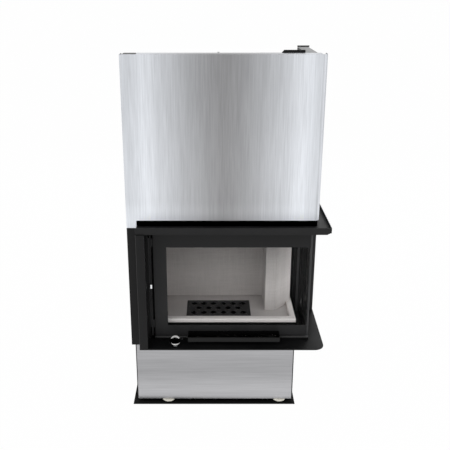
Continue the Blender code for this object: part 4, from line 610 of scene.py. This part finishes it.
# The look of each group of nodes, and the width to which their edges are rounded
GROUPS = (
    ("casing", SHEET_EDGE, ("casing",)),
    ("panel", SHEET_EDGE, ("plinth_front_panel",)),
    ("black", SHEET_EDGE, (
        "plinth_left_panel", "plinth_right_panel", "plinth_rear_panel", "portal_shelf",
        "portal_left_column", "body_floor", "ash_well",
        "body_left_plate", "body_rear_plate", "body_right_plate", "hood_front_plate", "hood_top_plate",
        "flue_collar", "left_cover", "guide_rail_left", "guide_rail_right", "top_rail_left",
        "carriage_right", "ash_pan")),
    ("matt", SHEET_EDGE, ("base_plate",)),
    ("column", SHEET_EDGE, ("portal_rear_column",)),
    ("beam", SHEET_EDGE, ("portal_beam",)),
    ("door", DOOR_EDGE, ("door_frame",)),
    ("door", SHEET_EDGE, ("carriage_left",)),
    ("handle", SHEET_EDGE, ("door_handle",)),
    ("zinc", SHEET_EDGE, (
        "plinth_floor", "air_spigot", "air_slider", "rear_jacket", "axle_left", "axle_right",
        "pulley_left", "pulley_right")),
    ("bar", SHEET_EDGE, ("top_cross_bar",)),
    ("pad", SHEET_EDGE, ("foot_front_left", "foot_front_right", "foot_rear_left", "foot_rear_right")),
    ("primer", SHEET_EDGE, ("top_rail_right",)),
    ("sill", SHEET_EDGE, ("door_sill",)),
    ("knob", SHEET_EDGE, ("air_knob",)),
    ("chrome", SHEET_EDGE, ("door_latch",)),
    ("cast", CAST_EDGE, ("counterweight_left", "counterweight_right")),
    ("grate", CAST_EDGE, ("grate",)),
    ("rim", BRICK_EDGE, ("front_rim", "right_rim")),
    ("pillar", BRICK_EDGE, ("pillar_brick",)),
    ("hearth", BRICK_EDGE, ("hearth_floor",)),
    ("deep_shade", BRICK_EDGE, ("back_brick", "baffle_plate")),
    ("black_edged", BRICK_EDGE, ("left_brick",)),
    ("polymer", SHEET_EDGE, ("guide_shoe_left", "guide_shoe_right")),
    ("pane", SHEET_EDGE, ("door_glass_front", "door_glass_side")),
)

# The record's bodies, and the body that each node rides on
BODIES = frame["record"]["behaviour"]["bodies"]
BODY_OF = {node: body for body, nodes in BODIES.items() for node in nodes}


# Pieces

def add_piece(name, mesh, look, body=None, replaced=()):
    """A named object of the mesh with its look, which rides on its body unless it is None."""
    data = bpy.data.meshes.new(name)
    mesh.to_mesh(data)
    mesh.free()
    data.shade_smooth()
    data.set_sharp_from_angle(angle=SHARP_ANGLE)
    data.materials.append(LOOKS[look].material)
    piece = bpy.data.objects.new(name, data)
    bpy.context.scene.collection.objects.link(piece)
    if body:
        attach(piece, body)
    if replaced:
        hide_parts(*replaced)
    return piece


def dress(node, look, width):
    """Makes a copy of the CAD node with its edges rounded, which stands for it."""
    mesh = bmesh.new()
    mesh.from_mesh(frame["nodes"][node].data)
    bmesh.ops.remove_doubles(mesh, verts=mesh.verts, dist=WELD)
    bmesh.ops.dissolve_limit(mesh, angle_limit=FLAT_ANGLE, verts=mesh.verts, edges=mesh.edges)
    bmesh.ops.recalc_face_normals(mesh, faces=mesh.faces)
    piece = add_piece(f"dressed_{node}", mesh, look, BODY_OF[node], (node,))
    bevel = piece.modifiers.new("edges", "BEVEL")
    bevel.width = width
    bevel.segments = EDGE_SEGMENTS
    bevel.limit_method = "ANGLE"
    bevel.angle_limit = SHARP_ANGLE
    bevel.use_clamp_overlap = True
    bevel.harden_normals = True


def skinned(mesh, rings):
    """The mesh with its rings of vertices joined into one closed solid."""
    for lower, upper in zip(rings, rings[1:]):
        for k, vertex in enumerate(lower):
            after = (k + 1) % len(lower)
            mesh.faces.new((vertex, lower[after], upper[after], upper[k]))
    mesh.faces.new(rings[0])
    mesh.faces.new(rings[-1])
    bmesh.ops.recalc_face_normals(mesh, faces=mesh.faces)
    return mesh


def prism(plan, low, high):
    """An upright solid over a plan, between two levels."""
    mesh = bmesh.new()
    return skinned(mesh, [[mesh.verts.new((x, y, z)) for x, y in plan] for z in (low, high)])


def build_corner_strip():
    """The thin strip over the corner where the door's two panes meet, in a lighter paint that is the
    corner's painted highlight.
    """
    low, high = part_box("door_frame")
    add_piece("corner_strip", prism(CORNER_STRIP, low.z, high.z), "strip", BODY_OF["door_frame"])


def build_pillar_wedge():
    """The pillar's flank, which stands on the hearth floor and is let into the rim."""
    low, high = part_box("hearth_floor")[1].z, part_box("pillar_brick")[1].z
    add_piece("pillar_wedge", prism(PILLAR_WEDGE, low, high), "pillar", "root")


def build_beam_end():
    """The plate that closes the beam's left end between its web and the column."""
    x, y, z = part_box("portal_beam")[0]
    front, rear = y + BEAM_END_DEPTHS[0], y + BEAM_END_DEPTHS[1]
    plan = ((x, front), (x + BEAM_END_SHEET, front), (x + BEAM_END_SHEET, rear), (x, rear))
    low, high = z + BEAM_END_HEIGHTS[0], z + BEAM_END_HEIGHTS[1]
    add_piece("beam_end", prism(plan, low, high), "black", "root")


def tube(path):
    """A cable along a path that lies in one YZ plane, closed at its ends."""
    mesh = bmesh.new()
    across = Vector((1, 0, 0))
    turns = [2 * math.pi * s / CABLE_SIDES for s in range(CABLE_SIDES)]
    rings = []
    for k, point in enumerate(path):
        before, after = path[max(k - 1, 0)], path[min(k + 1, len(path) - 1)]
        up = (after - before).normalized().cross(across)
        ring = [point + across * math.cos(a) * CABLE_RADIUS + up * math.sin(a) * CABLE_RADIUS
                for a in turns]
        rings.append([mesh.verts.new(place) for place in ring])
    return skinned(mesh, rings)


def straight(x, y, low, high):
    """Points up a straight line, a step or less apart."""
    count = max(2, round((high - low) / CABLE_STEP))
    return [Vector((x, y, low + (high - low) * k / count)) for k in range(count + 1)]


def build_cable(side):
    """A steel cable: up from its carriage, over the pulley, and down to its counterweight."""
    low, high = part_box(f"cable_{side}")
    wheel_low, wheel_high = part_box(f"pulley_{side}")
    weight_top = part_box(f"counterweight_{side}")[1].z
    axle = (wheel_low + wheel_high) / 2
    x = (low.x + high.x) / 2
    near, far = low.y + CABLE_RADIUS, high.y - CABLE_RADIUS
    radius = (far - near) / 2
    front = add_piece(f"cable_{side}_front", tube(straight(x, near, low.z, axle.z)), "cable")
    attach(front, "root")
    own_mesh(front)
    turns = [math.pi * k / (2 * CABLE_SIDES) for k in range(2 * CABLE_SIDES + 1)]
    arc = [Vector((x, axle.y - radius * math.cos(a), axle.z + radius * math.sin(a))) for a in turns]
    over = add_piece(f"cable_{side}_over", tube(arc), "cable", "root")
    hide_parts(f"cable_{side}")
    rear = add_piece(f"cable_{side}_rear", tube(straight(x, far, weight_top, axle.z)), "cable")
    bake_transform(rear)


# Stage

def build_floor():
    """A pale floor that keeps the insert's shadow and looks nearly white to the camera."""
    mesh = bmesh.new()
    half = FLOOR_SIZE / 2
    plan = ((-half, -half), (half, -half), (half, half), (-half, half))
    mesh.faces.new([mesh.verts.new((x, y, 0)) for x, y in plan])
    data = bpy.data.meshes.new("floor")
    mesh.to_mesh(data)
    mesh.free()
    floor = bpy.data.objects.new("floor", data)
    bpy.context.scene.collection.objects.link(floor)
    material = bpy.data.materials.new("floor_look")
    material.use_nodes = True
    tree = material.node_tree
    shader = tree.nodes["Principled BSDF"]
    shader.inputs["Base Color"].default_value = (*FLOOR_COLOUR, 1.0)
    shader.inputs["Roughness"].default_value = FLOOR_ROUGHNESS
    plain = tree.nodes.new("ShaderNodeEmission")
    rays = tree.nodes.new("ShaderNodeLightPath").outputs
    seen = maths(tree, "MAXIMUM", rays["Is Camera Ray"], rays["Is Glossy Ray"])
    seen = maths(tree, "MAXIMUM", seen, rays["Is Transmission Ray"])
    share = maths(tree, "MULTIPLY", seen, FLOOR_WHITENESS)
    surface = mixed_shaders(tree, share, shader.outputs["BSDF"], plain.outputs["Emission"])
    tree.links.new(surface, tree.nodes["Material Output"].inputs["Surface"])
    data.materials.append(material)


def build_world():
    """White to the camera and through glass, and plain light all round.

    Glossy faces mirror a room that is dimmer straight ahead and behind than at the sides.
    """
    world = bpy.data.worlds.new("studio")
    bpy.context.scene.world = world
    world.use_nodes = True
    tree = world.node_tree
    light = tree.nodes["Background"]
    light.inputs["Color"].default_value = (*WORLD_COLOUR, 1.0)
    light.inputs["Strength"].default_value = WORLD_LEVEL
    white = tree.nodes.new("ShaderNodeBackground")
    white.inputs["Color"].default_value = (*WHITE, 1.0)
    room = tree.nodes.new("ShaderNodeBackground")
    direction = tree.nodes.new("ShaderNodeTexCoord")
    split = tree.nodes.new("ShaderNodeSeparateXYZ")
    tree.links.new(direction.outputs["Generated"], split.inputs["Vector"])
    spread = tree.nodes.new("ShaderNodeMapRange")
    spread.inputs["From Max"].default_value = ROOM_EDGE
    spread.inputs["To Min"].default_value = ROOM_LEVEL
    tree.links.new(maths(tree, "ABSOLUTE", split.outputs["X"]), spread.inputs["Value"])
    tree.links.new(spread.outputs["Result"], room.inputs["Strength"])
    rays = tree.nodes.new("ShaderNodeLightPath").outputs
    lit = mixed_shaders(
        tree, rays["Is Glossy Ray"], light.outputs["Background"], room.outputs["Background"])
    seen = maths(tree, "MAXIMUM", rays["Is Camera Ray"], rays["Is Transmission Ray"])
    surface = mixed_shaders(tree, seen, lit, white.outputs["Background"])
    tree.links.new(surface, tree.nodes["World Output"].inputs["Surface"])


def build_lamps():
    """Square lamps, each turned to the insert's middle."""
    for name, (place, size, power) in LAMPS.items():
        light = bpy.data.lights.new(name, "AREA")
        light.size = size
        light.energy = power
        lamp = bpy.data.objects.new(name, light)
        lamp.location = place
        lamp.rotation_euler = (LAMP_TARGET - Vector(place)).to_track_quat("-Z", "Y").to_euler()
        bpy.context.scene.collection.objects.link(lamp)


def build_camera():
    """The camera that the photograph was taken with."""
    data = bpy.data.cameras.new("photo_camera")
    data.sensor_width = SENSOR_MILLIMETRES
    data.lens = FOCAL_PIXELS / FRAME_PIXELS * data.sensor_width
    data.shift_x = (FRAME_PIXELS / 2 - CENTRE_COLUMN) / FRAME_PIXELS
    camera = bpy.data.objects.new("photo_camera", data)
    camera.location = CAMERA_PLACE
    camera.rotation_euler = (math.pi / 2 - CAMERA_PITCH, 0, 0)
    bpy.context.scene.collection.objects.link(camera)
    bpy.context.scene.camera = camera


def main():
    """Builds every piece and its stage."""
    bpy.context.scene.view_settings.view_transform = "Standard"
    for look, width, nodes in GROUPS:
        for node in nodes:
            dress(node, look, width)
    build_corner_strip()
    build_pillar_wedge()
    build_beam_end()
    build_cable("left")
    build_cable("right")
    build_floor()
    build_world()
    build_lamps()
    build_camera()


main()
